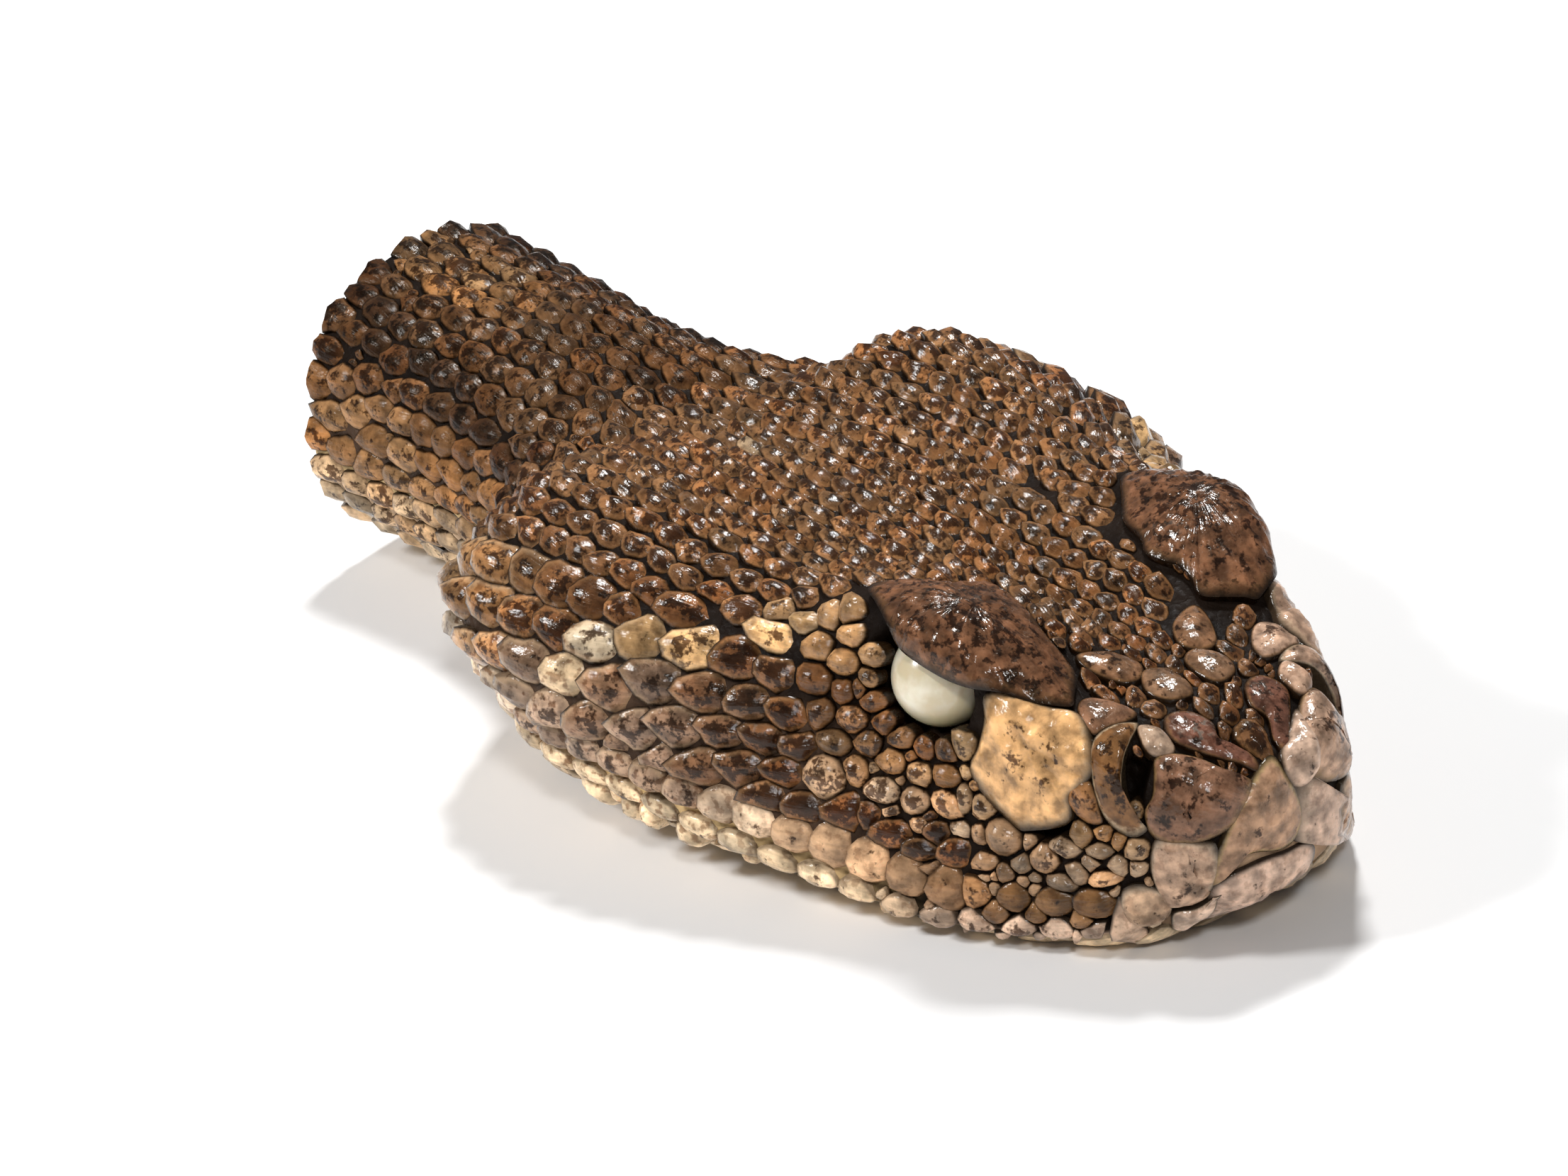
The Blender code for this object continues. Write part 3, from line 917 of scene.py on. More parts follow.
@dataclass
class ScaleField:
    """All scale seats together: they push each other apart, and share out the skin between them."""

    seats: Seats
    walls: Array
    neighbours: int = 12
    settle_rounds: int = 24
    softness: float = 9.0
    corners: int = 14

    def near(self, at: SkinFrame) -> Array:
        """Index of the nearest other seats of each seat."""
        p = at.point.astype(np.float32)
        square = (p**2).sum(1)
        gap = square[:, None] + square[None] - 2.0 * p @ p.T
        np.fill_diagonal(gap, np.inf)
        return np.argpartition(gap, self.neighbours, axis=1)[:, : self.neighbours]

    def axes(self, at: SkinFrame) -> tuple[Array, Array]:
        """Each seat's own long and cross directions."""
        c, s = np.cos(self.seats.turn)[:, None], np.sin(self.seats.turn)[:, None]
        return c * at.back + s * at.side, c * at.side - s * at.back

    def settle(self) -> None:
        """Moves free seats apart where they are closer than their sizes allow."""
        seats = self.seats
        for turn in range(self.settle_rounds):
            at = FORM.frame(seats.run, seats.line)
            if turn % 6 == 0:
                near = self.near(at)
            long, cross = self.axes(at)
            apart = at.point[near] - at.point[:, None]
            length = (seats.length[:, None] + seats.length[near]) / 2
            width = (seats.width[:, None] + seats.width[near]) / 2
            back = (apart * long[:, None]).sum(-1) / length
            side = (apart * cross[:, None]).sum(-1) / width
            space = np.maximum(np.hypot(back, side), 1e-3)
            push = np.where(seats.fixed[near], 0.5, 0.25) * np.maximum(1.0 - space, 0.0) / space
            back_mm = -(push * back).sum(1) * seats.length
            side_mm = -(push * side).sum(1) * seats.width
            c, s = np.cos(seats.turn), np.sin(seats.turn)
            d_run, d_line = FORM.step(at, c * back_mm - s * side_mm, s * back_mm + c * side_mm)
            free = ~seats.fixed
            seats.run = np.where(free, seats.run + np.clip(d_run, -0.4, 0.4), seats.run)
            seats.run = np.clip(seats.run, 0.4, 77.0)
            seats.line = np.where(free, seats.line + np.clip(d_line, -0.15, 0.15), seats.line)

    def thin(self, least: float) -> None:
        """Takes out free seats that crowd a neighbour or a wall closer than least of a scale's size."""
        seats = self.seats
        at = FORM.frame(seats.run, seats.line)
        near = self.near(at)
        long, cross = self.axes(at)
        apart = at.point[near] - at.point[:, None]
        back = (apart * long[:, None]).sum(-1) / seats.length[:, None]
        side = (apart * cross[:, None]).sum(-1) / seats.width[:, None]
        order = np.arange(len(seats.run))
        first = seats.fixed[near] | (near < order[:, None])
        crowded = ((np.hypot(back, side) < least) & first).any(1)
        if len(self.walls):
            gap = np.linalg.norm(self.walls[None] - at.point[:, None], axis=-1).min(1)
            crowded |= gap < 0.3 * np.minimum(seats.length, seats.width)
        self.seats = seats.take(seats.fixed | ~crowded)

    def fill(self, spots: Seats, least: float, most: float) -> None:
        """Adds small seats at the widest bare spots, until no spot has more than least of free reach.

        Args:
            spots: where a seat may go.
            least: smallest free reach that is filled, in mm.
            most: largest half size of an added seat, in mm.
        """
        seats = self.seats
        at = FORM.frame(seats.run, seats.line)
        long, cross = self.axes(at)
        place = FORM.point(spots.run, spots.line)
        free = np.full(len(place), 9.0)
        nearest = np.zeros(len(place), int)
        for first in range(0, len(place), 500):
            part = slice(first, first + 500)
            apart = place[part, None] - at.point[None]
            away = np.linalg.norm(apart, axis=-1)
            back, side = (apart * long).sum(-1) / seats.length, (apart * cross).sum(-1) / seats.width
            share = np.hypot(back, side) * 2.0
            room = away * (1.0 - 1.0 / np.maximum(share, 1e-3))
            nearest[part] = room.argmin(1)
            free[part] = room.min(1)
            wall = np.linalg.norm(place[part, None] - self.walls[None], axis=-1).min(1)
            free[part] = np.minimum(free[part], wall)
        chosen, reach = [], []
        while free.max() > least:
            best = int(free.argmax())
            chosen.append(best)
            reach.append(min(free[best], most))
            free = np.minimum(free, np.linalg.norm(place - place[best], axis=-1) - reach[-1])
        kind = seats.kind[nearest[chosen]]
        kind = np.where(seats.fixed[nearest[chosen]], Kind.BEAD.value, kind)
        size = 3.0 * np.array(reach)
        added = Seats.even(spots.run[chosen], spots.line[chosen], size, size, Kind.BEAD)
        added.kind = kind
        self.seats = seats.join(added)

    def outlines(self) -> Outlines:
        """Shares out the skin: each edge is a soft minimum of the lines half way to neighbours and walls.

        The soft minimum of reaches r is (sum of r^-softness)^(-1 / softness).

        Returns:
            The reach of every seat in each direction.
        """
        seats = self.seats
        at = FORM.frame(seats.run, seats.line)
        long, cross = self.axes(at)
        angle = np.arange(self.corners) * 2 * math.pi / self.corners
        toward = np.stack([np.cos(angle), np.sin(angle)], -1)
        near = self.near(at)
        apart = at.point[near] - at.point[:, None]
        half = np.stack([seats.length, seats.width], -1)[:, None] / 2
        offset = np.stack([(apart * long[:, None]).sum(-1), (apart * cross[:, None]).sum(-1)], -1) / half
        size = np.sqrt(seats.length * seats.width)
        ratio = size[near] / size[:, None]
        ahead = offset @ toward.T
        reach = ((offset**2).sum(-1) + 1.0 - ratio**2)[..., None] / (2.0 * np.maximum(ahead, 1e-3))
        reach = np.where(ahead > 1e-3, np.maximum(reach, 0.25), 1e3)
        shapes = [SHAPES[Kind(k)] for k in seats.kind]
        widest, pointed = (np.array([getattr(s, n) for s in shapes])[:, None] for n in ("widest", "pointed"))
        power = np.where(np.cos(angle) > 0.0, pointed, np.maximum(pointed, 2.0))
        oval = (np.abs(np.cos(angle)) ** power + np.abs(np.sin(angle)) ** power) ** (-1.0 / power)
        total = (reach**-self.softness).sum(1) + (widest * oval) ** -self.softness
        if len(self.walls):
            total = total + self.wall_reach(at, long, cross, half, toward) ** -self.softness
        return Outlines(angle, total ** (-1.0 / self.softness))

    def wall_reach(self, at: SkinFrame, long: Array, cross: Array, half: Array,
                   toward: Array) -> Array:
        """Distance to the nearest wall in each direction, as shares of the half sizes.

        Args:
            at: places of the seats.
            long: long direction of each seat.
            cross: cross direction of each seat.
            half: half sizes of each seat, shape (n, 1, 2).
            toward: unit directions over a seat, shape (corners, 2).

        Returns:
            The reach of every seat in each direction.
        """
        apart = self.walls[None] - at.point[:, None]
        offset = np.stack([(apart * long[:, None]).sum(-1), (apart * cross[:, None]).sum(-1)], -1) / half
        ahead = offset @ toward.T
        reach = (offset**2).sum(-1)[..., None] / np.maximum(ahead, 1e-3)
        close = (np.linalg.norm(apart, axis=-1) < 4.0)[..., None]
        return np.maximum(np.where((ahead > 1e-3) & close, reach, 1e3).min(1), 0.25)


class Paint(NamedTuple):
    """Colours of scales: tint and the amount of specks, rim and its amount, and the blotch, matte and painted
    shade values.

    These are how far blotches spread, how matte the scale is, and how dark the painted shade line at its edge
    is.
    """

    tint: Array
    rim: Array
    wear: Array


class Ease(NamedTuple):
    """A smooth change from 0 at start to 1 at start + reach. A negative reach changes the other way."""

    start: float
    reach: float

    def at(self, value: Array) -> Array:
        """The change at value."""
        return smooth_step((value - self.start) / self.reach)


class ZoneLook(NamedTuple):
    """What a zone does to its scales: a colour and its share, and what it adds to specks and blotches."""

    colour: Colour | None = None
    share: float = 0.0
    speck: float = 0.0
    blotch: float = 0.0


ZONE_LOOKS = {
    "nose": ZoneLook(INK.red_brown, 1.0),
    "side": ZoneLook(INK.red_brown, 0.8),
    "dark_cheek": ZoneLook(INK.red_brown, 1.0),
    "low_cheek": ZoneLook(INK.speckled, 0.9),
    "jaw_angle": ZoneLook(INK.tan, 0.75, speck=0.3, blotch=-0.05),
    "stripe": ZoneLook(INK.stripe, 0.9, speck=0.05, blotch=-0.14),
    "front_lip": ZoneLook(INK.tan, 0.7),
    "upper_lip": ZoneLook(None, 0.95),
    "lower_lip": ZoneLook(INK.cream, 1.0),
    "chin": ZoneLook(INK.chin, 1.0),
    "belly": ZoneLook(INK.cream, 1.0, speck=-0.25, blotch=-0.3),
    "neck_side": ZoneLook(INK.tan, 0.55),
    "nape_tone": ZoneLook(INK.dark, 1.0),
    "marks": ZoneLook(INK.dark, 0.85),
    "between_marks": ZoneLook(INK.tan, 0.6),
    "speckled": ZoneLook(speck=0.45),
    "lips": ZoneLook(speck=0.15),
    "dark_cheek_alone": ZoneLook(blotch=0.05),
    "patch": ZoneLook(blotch=0.05),
    "low_cheek_alone": ZoneLook(blotch=-0.09),
    "rear_lip": ZoneLook(blotch=0.12),
    "nape": ZoneLook(blotch=0.10),
    "neck": ZoneLook(blotch=-0.09),
    "lip": ZoneLook(blotch=-0.10),
    "lip_behind": ZoneLook(blotch=-0.12),
    "bead": ZoneLook(blotch=-0.11),
}


@dataclass(frozen=True)
class SkinPattern:
    """Where the dark bands, pale stripe, pale lips and speckles lie.

    Values named by front, rear or end are x; values named by top, foot or side are lines of the form.
    """

    nose_rear: Ease = Ease(-16.0, 8.0)
    side_top: Ease = Ease(1.7, 0.5)
    side_end: float = -46.0
    cheek_rear: float = -44.0
    cheek_top: float = 2.2
    band_top: Ease = Ease(2.5, 0.25)
    band_foot: Ease = Ease(3.75, -0.25)
    band_rear: Ease = Ease(-44.0, 6.0)
    low_cheek_front: Ease = Ease(-20.0, -8.0)
    low_cheek_top: Ease = Ease(2.8, 0.35)
    angle_front: Ease = Ease(-34.0, -5.0)
    angle_top: Ease = Ease(2.2, 0.5)
    angle_rear: Ease = Ease(-50.0, 3.0)
    stripe: tuple = ((-19.0, 2.30), (-22.4, 2.42), (-25.0, 2.56), (-28.0, 2.72), (-32.5, 3.08), (-37.0, 3.5))
    stripe_half: float = 0.24
    lip_top: Ease = Ease(3.62, 0.12)
    lip_rise: float = 0.3
    lip_rise_front: Ease = Ease(-27.0, -7.0)
    lip_end: float = -47.0
    lower_lip_top: Ease = Ease(3.95, 0.1)
    lower_lip_front: Ease = Ease(-8.0, -10.0)
    chin_rear: Ease = Ease(-18.0, 10.0)
    front_lip_rear: Ease = Ease(-15.0, 6.0)
    rear_lip_front: Ease = Ease(-22.0, -3.0)
    rear_lip_end: Ease = Ease(-40.0, 4.0)
    peach_lip_rear: Ease = Ease(-23.0, 4.0)
    neck_front: Ease = Ease(-47.0, -4.0)
    neck_side_top: Ease = Ease(2.5, 0.4)
    belly_top: Ease = Ease(4.6, 0.6)
    belly_drop: float = 0.7
    nape_front: Ease = Ease(-46.0, -8.0)
    nape_side: Ease = Ease(2.7, -0.6)
    nape_tone: float = 0.62
    nape_patch_tone: float = 0.35
    nape_band: tuple = ((-50.0, 2.4), (-55.0, 2.15), (-61.0, 1.9), (-70.0, 1.6), (-78.5, 0.8))
    nape_half: float = 0.42
    mark_patch: Ease = Ease(0.25, 0.3)
    mark_side: float = 2.6
    between_front: Ease = Ease(-60.0, -8.0)
    between_side: Ease = Ease(1.0, -0.4)
    bead_foot: float = 3.8
    peach_bead_top: Ease = Ease(3.2, 0.2)
    dark_bead_top: Ease = Ease(2.6, 0.15)
    dark_bead_foot: Ease = Ease(3.3, -0.2)
    dark_bead_front: float = -11.5
    pale_pixels: tuple = ((1061, 623), (790, 965), (845, 925))
    pale_reach: float = 1.1
    pale_share: float = 0.75
    patch_mm: float = 5.0
    mm_per_line: float = 6.0
    base_speck: float = 0.35
    base_blotch: float = 0.435
    blotch_spread: float = 0.14
    tone: tuple = (0.55, 0.9)
    patch_tone: float = 0.3
    hue_spread: float = 0.3
    hue_hold: float = 0.8
    warmth: tuple = (0.8, 0.0, -0.9)
    rim_share: float = 0.36
    bead_rim_share: float = 0.15
    rim_lip_loss: float = 0.8
    rim_neck_loss: float = 0.7
    rim_tone: tuple = (0.7, 0.6)
    rim_in_marks: float = 0.6
    rim_cream: float = 0.6
    matte_spread: float = 0.3
    matte_neck: float = 0.6
    matte_pale: float = 0.3
    # How much weaker the painted shade line at a scale's edge is on pale scales.
    edge_line_pale_loss: float = 0.5

    @staticmethod
    def blend(base: Array, colour: object, share: Array) -> Array:
        """Base moved by share towards one colour, or towards a colour of each place."""
        share = np.clip(share, 0.0, 1.0)[..., None]
        return base * (1.0 - share) + np.array(colour) * share

    @staticmethod
    def near_curve(curve: tuple, x: Array, half: Array, width: float) -> Array:
        """1 on a curve of x and line, falling to 0 at width away from it.

        Args:
            curve: pairs of x and line.
            x: place along the form.
            half: place round the form, as on the left side.
            width: how far the curve's mark reaches, in lines.

        Returns:
            A share for each place.
        """
        x_known, line = np.array(sorted(curve)).T
        inside_run = (x > x_known[0] - 2.0) & (x < x_known[-1] + 1.5)
        return smooth_step(1.6 * (1.0 - np.abs(half - np.interp(x, x_known, line)) / width)) * inside_run

    def zones(self, x: Array, half: Array, patch: Array, bead: Array) -> dict:
        """How far each place belongs to each zone of ZONE_LOOKS.

        Args:
            x: place along the form, 0 at the snout tip.
            half: place round the form, as on the left side.
            patch: slow random field from -1 to 1.
            bead: which scales are beads above the lips.

        Returns:
            The share of every place, by zone.
        """
        cheek = (x > self.cheek_rear) & (half > self.cheek_top)
        band = cheek * self.band_top.at(half) * self.band_foot.at(half) * self.band_rear.at(x)
        low_cheek = cheek * self.low_cheek_front.at(x) * self.low_cheek_top.at(half)
        lip = self.lip_top.at(half + self.lip_rise * self.lip_rise_front.at(x)) * (x > self.lip_end)
        lower = self.lower_lip_top.at(half)
        upper = lip * (1.0 - lower)
        front = self.front_lip_rear.at(x)
        rear_lip = upper * self.rear_lip_front.at(x) * self.rear_lip_end.at(x)
        neck = self.neck_front.at(x)
        belly = self.belly_top.at(half - self.belly_drop * neck)
        marks = self.near_curve(self.nape_band, x, half, self.nape_half)
        marks = np.maximum(marks, neck * self.mark_patch.at(patch) * (half < self.mark_side))
        nape = self.nape_front.at(x) * self.nape_side.at(half)
        return {
            "nose": self.nose_rear.at(x),
            "side": self.side_top.at(half) * (x > self.side_end),
            "dark_cheek": band,
            "dark_cheek_alone": band * (1.0 - low_cheek),
            "low_cheek": low_cheek,
            "low_cheek_alone": low_cheek * (1.0 - lip),
            "speckled": np.maximum(low_cheek, rear_lip),
            "jaw_angle": self.angle_front.at(x) * self.angle_top.at(half) * self.angle_rear.at(x),
            "stripe": self.near_curve(self.stripe, x, half, self.stripe_half),
            "lip": lip,
            "lips": lip * (1.0 - belly),
            "lip_behind": lip * (1.0 - front),
            "front_lip": upper * front,
            "upper_lip": upper * (1.0 - front),
            "rear_lip": rear_lip,
            "lower_lip": lower * self.lower_lip_front.at(x),
            "chin": lower * self.chin_rear.at(x),
            "belly": belly,
            "neck": neck,
            "neck_side": neck * self.neck_side_top.at(half) * (1.0 - belly),
            "nape": nape,
            "nape_tone": (self.nape_tone + self.nape_patch_tone * patch) * nape,
            "marks": marks,
            "between_marks": neck * self.between_front.at(x) * self.between_side.at(half) * (1.0 - marks),
            "patch": patch,
            "bead": bead * 1.0,
        }

    def paint(self, x: Array, line: Array, kind: Array, rng: np.random.Generator) -> Paint:
        """Colours for scales at given places.

        Args:
            x: place along the form, 0 at the snout tip.
            line: place round the form.
            kind: sort of each scale.
            rng: source of the differences between scales.

        Returns:
            Tint, rim, and the blotch, matte and painted shade values of each scale.
        """
        half = np.abs(line)
        spread = rng.random((3, len(x)))
        patch = grain(np.stack([x, line * self.mm_per_line, np.zeros_like(x)], -1), self.patch_mm, 3.0)
        bead = (kind == Kind.BEAD.value) & (half < self.bead_foot)
        zone = self.zones(x, half, patch, bead)
        lip_tint = self.blend(np.array(INK.pale_lip), INK.peach_bead, self.peach_lip_rear.at(x))
        lip_tint = self.blend(lip_tint, INK.lip_brown, zone["rear_lip"])
        tint = np.tile(np.array(INK.brown), (len(x), 1))
        speck = np.full(len(x), self.base_speck)
        blotch = self.base_blotch + self.blotch_spread * (spread[0] - 0.5)
        for name, look in ZONE_LOOKS.items():
            if look.share:
                colour = look.colour if look.colour else lip_tint
                tint = self.blend(tint, colour, look.share * zone[name])
            speck = speck + look.speck * zone[name]
            blotch = blotch + look.blotch * zone[name]
        for spot in LENS.locate(np.array(self.pale_pixels, float), 0.2):
            apart = FORM.point(-FORM.nose_round - x + 1.0, line) - FORM.point(*spot)
            close = np.linalg.norm(apart, axis=-1) < self.pale_reach
            tint = self.blend(tint, INK.cream, self.pale_share * close)
        below_eye = self.dark_bead_top.at(half) * self.dark_bead_foot.at(half) * (x < self.dark_bead_front)
        bead_tint = self.blend(np.array(INK.gold_bead), INK.peach_bead, self.peach_bead_top.at(half))
        bead_tint = self.blend(bead_tint, INK.dark_bead, below_eye)
        tint = np.where(bead[:, None], bead_tint, tint)

        light = self.tone[0] + self.tone[1] * spread[0]
        light = light * (1.0 + self.patch_tone * patch * (half < LIP_LINE))
        hold = np.maximum.reduce([zone["lip"], zone["belly"], zone["stripe"]])
        hue = self.hue_spread * (spread[1] - 0.5) * (1.0 - self.hue_hold * hold)
        tint = tint * light[:, None] * (1.0 + hue[:, None] * np.array(self.warmth))
        tint = np.concatenate([tint, np.clip(speck, 0.0, 1.0)[:, None]], 1)

        rim_light = self.rim_tone[0] + self.rim_tone[1] * spread[2]
        rim_light = rim_light * np.where(zone["marks"] > 0.5, self.rim_in_marks, 1.0)
        rim = np.array(INK.light_edge) * rim_light[:, None]
        pale = np.maximum.reduce([zone[name] for name in ("jaw_angle", "stripe", "low_cheek", "rear_lip")])
        rim = self.blend(rim, INK.cream, self.rim_cream * pale)
        rim_share = np.where(bead, self.bead_rim_share, self.rim_share)
        rim_share = rim_share * (1.0 - self.rim_lip_loss * zone["lip"] * (1.0 - zone["rear_lip"]))
        rim_share = rim_share * (1.0 - self.rim_neck_loss * zone["neck"])
        rim = np.concatenate([rim, rim_share[:, None]], 1)

        pale = np.maximum(zone["lip_behind"], zone["belly"])
        matte = self.matte_spread * spread[1] * (1 - bead) + self.matte_neck * zone["neck"]
        matte = matte + self.matte_pale * pale
        # The last value sets the painted shade line at each scale's edge, weaker on pale scales.
        return Paint(tint, rim, np.stack([blotch, matte, 1.0 - self.edge_line_pale_loss * pale], -1))


PATTERN = SkinPattern()


@dataclass
class ScaleMaker:
    """Raises scales over their seats as closed shells and paints them."""

    rings: tuple = (0.5, 0.84, 1.0)
    skirt_depth: float = 0.7
    roughness: float = 0.06
    last_run: float = 77.75
    seed: int = 5

    def faces(self, corners: int) -> list:
        """Index arrays of one scale: a fan at the middle, bands between rings, a skirt, and a bottom."""
        k = np.arange(corners)
        after = (k + 1) % corners
        fan = np.stack([np.zeros_like(k), 1 + k, 1 + after], -1)
        bands = [
            np.stack([1 + r * corners + k, 1 + (r + 1) * corners + k,
                      1 + (r + 1) * corners + after, 1 + r * corners + after], -1)
            for r in range(len(self.rings))
        ]
        bottom = (1 + len(self.rings) * corners + k)[::-1][None]
        return [fan, np.concatenate(bands), bottom]

    def raise_all(self, field_: ScaleField, stock: dict, groups: Array) -> None:
        """Adds every scale to the stock of its group.

        Height over the skin is lift + tilt * back + dome * (1 - share**2.6) + keel * exp(-(side / 0.22)**2) *
        (1 - share**4), where share runs from 0 at a scale's middle to 1 at its edge.

        Args:
            field_: the settled seats.
            stock: a MeshStock for each group.
            groups: the group of each seat.
        """
        seats = field_.seats
        rng = np.random.default_rng(self.seed)
        outline = field_.outlines()
        shapes = [SHAPES[Kind(k)] for k in seats.kind]
        lift, tilt, dome, keel, overlap, gap = (
            np.array([getattr(s, n) for s in shapes])[:, None]
            for n in ("lift", "tilt", "dome", "keel", "overlap", "gap")
        )
        size = np.sqrt(seats.length * seats.width)[:, None]
        stand = np.clip(size / 1.6, 0.55, 1.35) * (0.85 + 0.3 * rng.random(size.shape))
        half_long, half_wide = seats.length[:, None] / 2, seats.width[:, None] / 2
        forward = np.maximum(np.cos(outline.angle), 0.0) ** 4
        reach = outline.reach * (1.0 + overlap * forward) - gap / np.minimum(half_long, half_wide)
        reach *= 1.0 + 0.03 * rng.standard_normal(reach.shape)
        at = FORM.frame(seats.run, seats.line)
        share, index, skirt = spokes(self.rings, len(outline.angle), 1.0)
        spoke = reach[:, index] * share
        back = spoke * np.cos(outline.angle[index]) * half_long
        side = spoke * np.sin(outline.angle[index]) * half_wide
        c, s = np.cos(seats.turn)[:, None], np.sin(seats.turn)[:, None]
        spread = SkinFrame(*(a[:, None] for a in at))
        d_run, d_line = FORM.step(spread, c * back - s * side, s * back + c * side)
        run = np.clip(seats.run[:, None] + d_run, 0.05, self.last_run)
        line = seats.line[:, None] + d_line
        on = FORM.frame(run, line)
        back_share, side_share = back / half_long, side / half_wide
        height = lift + tilt * back_share * stand + dome * stand * (1.0 - share**2.6)
        height += keel * stand * np.exp(-((side_share / 0.22) ** 2)) * (1.0 - share**4)
        height += self.roughness * stand * grain(on.point, 0.45, 51.0) * (1.0 - share**6)
        height = np.where(skirt, -self.skirt_depth, height)
        points = on.point + on.out * height[..., None]
        points[..., 2] = np.maximum(points[..., 2], 0.0)
        paint = PATTERN.paint(at.point[:, 0], seats.line, seats.kind, rng)
        place = np.stack([back_share, side_share, np.broadcast_to(share, back.shape)], -1)
        faces = self.faces(len(outline.angle))
        for group, target in stock.items():
            mine = groups == group
            count = points.shape[1]
            start = (np.arange(mine.sum()) * count)[:, None, None]
            target.add(points[mine], [face[None] + start for face in faces],
                       tint=np.repeat(paint.tint[mine][:, None], count, 1),
                       rim=np.repeat(paint.rim[mine][:, None], count, 1),
                       wear=np.repeat(paint.wear[mine][:, None], count, 1), place=place[mine])


@dataclass(frozen=True)
class PlateTrace:
    """A large plate: its name, its outline in the photograph, how it stands in mm, and how it looks."""

    name: str
    outline: tuple
    lift: float = 0.02
    dome: float = 0.34
    tint: Colour = INK.mauve
    far_tint: Colour | None = None
    rim: Colour = INK.light_edge
    rim_share: float = 0.6
    speck: float = 0.4
    wrinkle: float = 0.05
    wrinkle_mm: float = 0.5
    shoulder: float = 3.0
    hang: float = 0.0
    hang_line: float = 1.7
    pleat: float = 0.0
    blotch: float = 0.38
    matte: float = 0.2
    swell: float = 1.09
    groove: float = 1.0
    from_front: bool = False
    mirrored: bool = True


FAR_SNOUT: Colour = (0.44, 0.28, 0.19)
BROW_SHIELD = PlateTrace(
    "brow_shield",
    ((1224, 832), (1232, 820), (1281, 815), (1338, 819), (1390, 820), (1424, 835), (1450, 858), (1476, 892),
     (1505, 927), (1519, 950), (1516, 978), (1510, 995), (1467, 993), (1419, 978), (1367, 967), (1324, 947),
     (1281, 918), (1262, 889), (1249, 869), (1235, 849)),
    lift=0.2, dome=0.42, tint=(0.150, 0.066, 0.032), rim_share=0.3, speck=0.5, blotch=0.42, wrinkle=0.10,
    wrinkle_mm=0.4, shoulder=4.0, hang=0.45, hang_line=1.8, pleat=0.06, swell=1.0, groove=1.07,
)
FAR_BROW_EDGE = (
    (1600, 662), (1580, 672), (1581, 702), (1584, 733), (1602, 750), (1610, 763), (1615, 779), (1638, 789),
    (1663, 796), (1679, 812), (1694, 837), (1724, 840), (1755, 840), (1778, 841),
)
EYE_EDGE = (
    (1262, 906), (1252, 922), (1249, 940), (1253, 960), (1263, 982), (1281, 1004), (1306, 1023), (1333, 1031),
    (1361, 1028), (1383, 1017), (1396, 998), (1396, 978), (1370, 930), (1310, 900),
)
PIT_EDGE = (
    (1448, 1162), (1466, 1156), (1486, 1156), (1504, 1160), (1510, 1168), (1502, 1178), (1484, 1184),
    (1464, 1183), (1450, 1175),
)
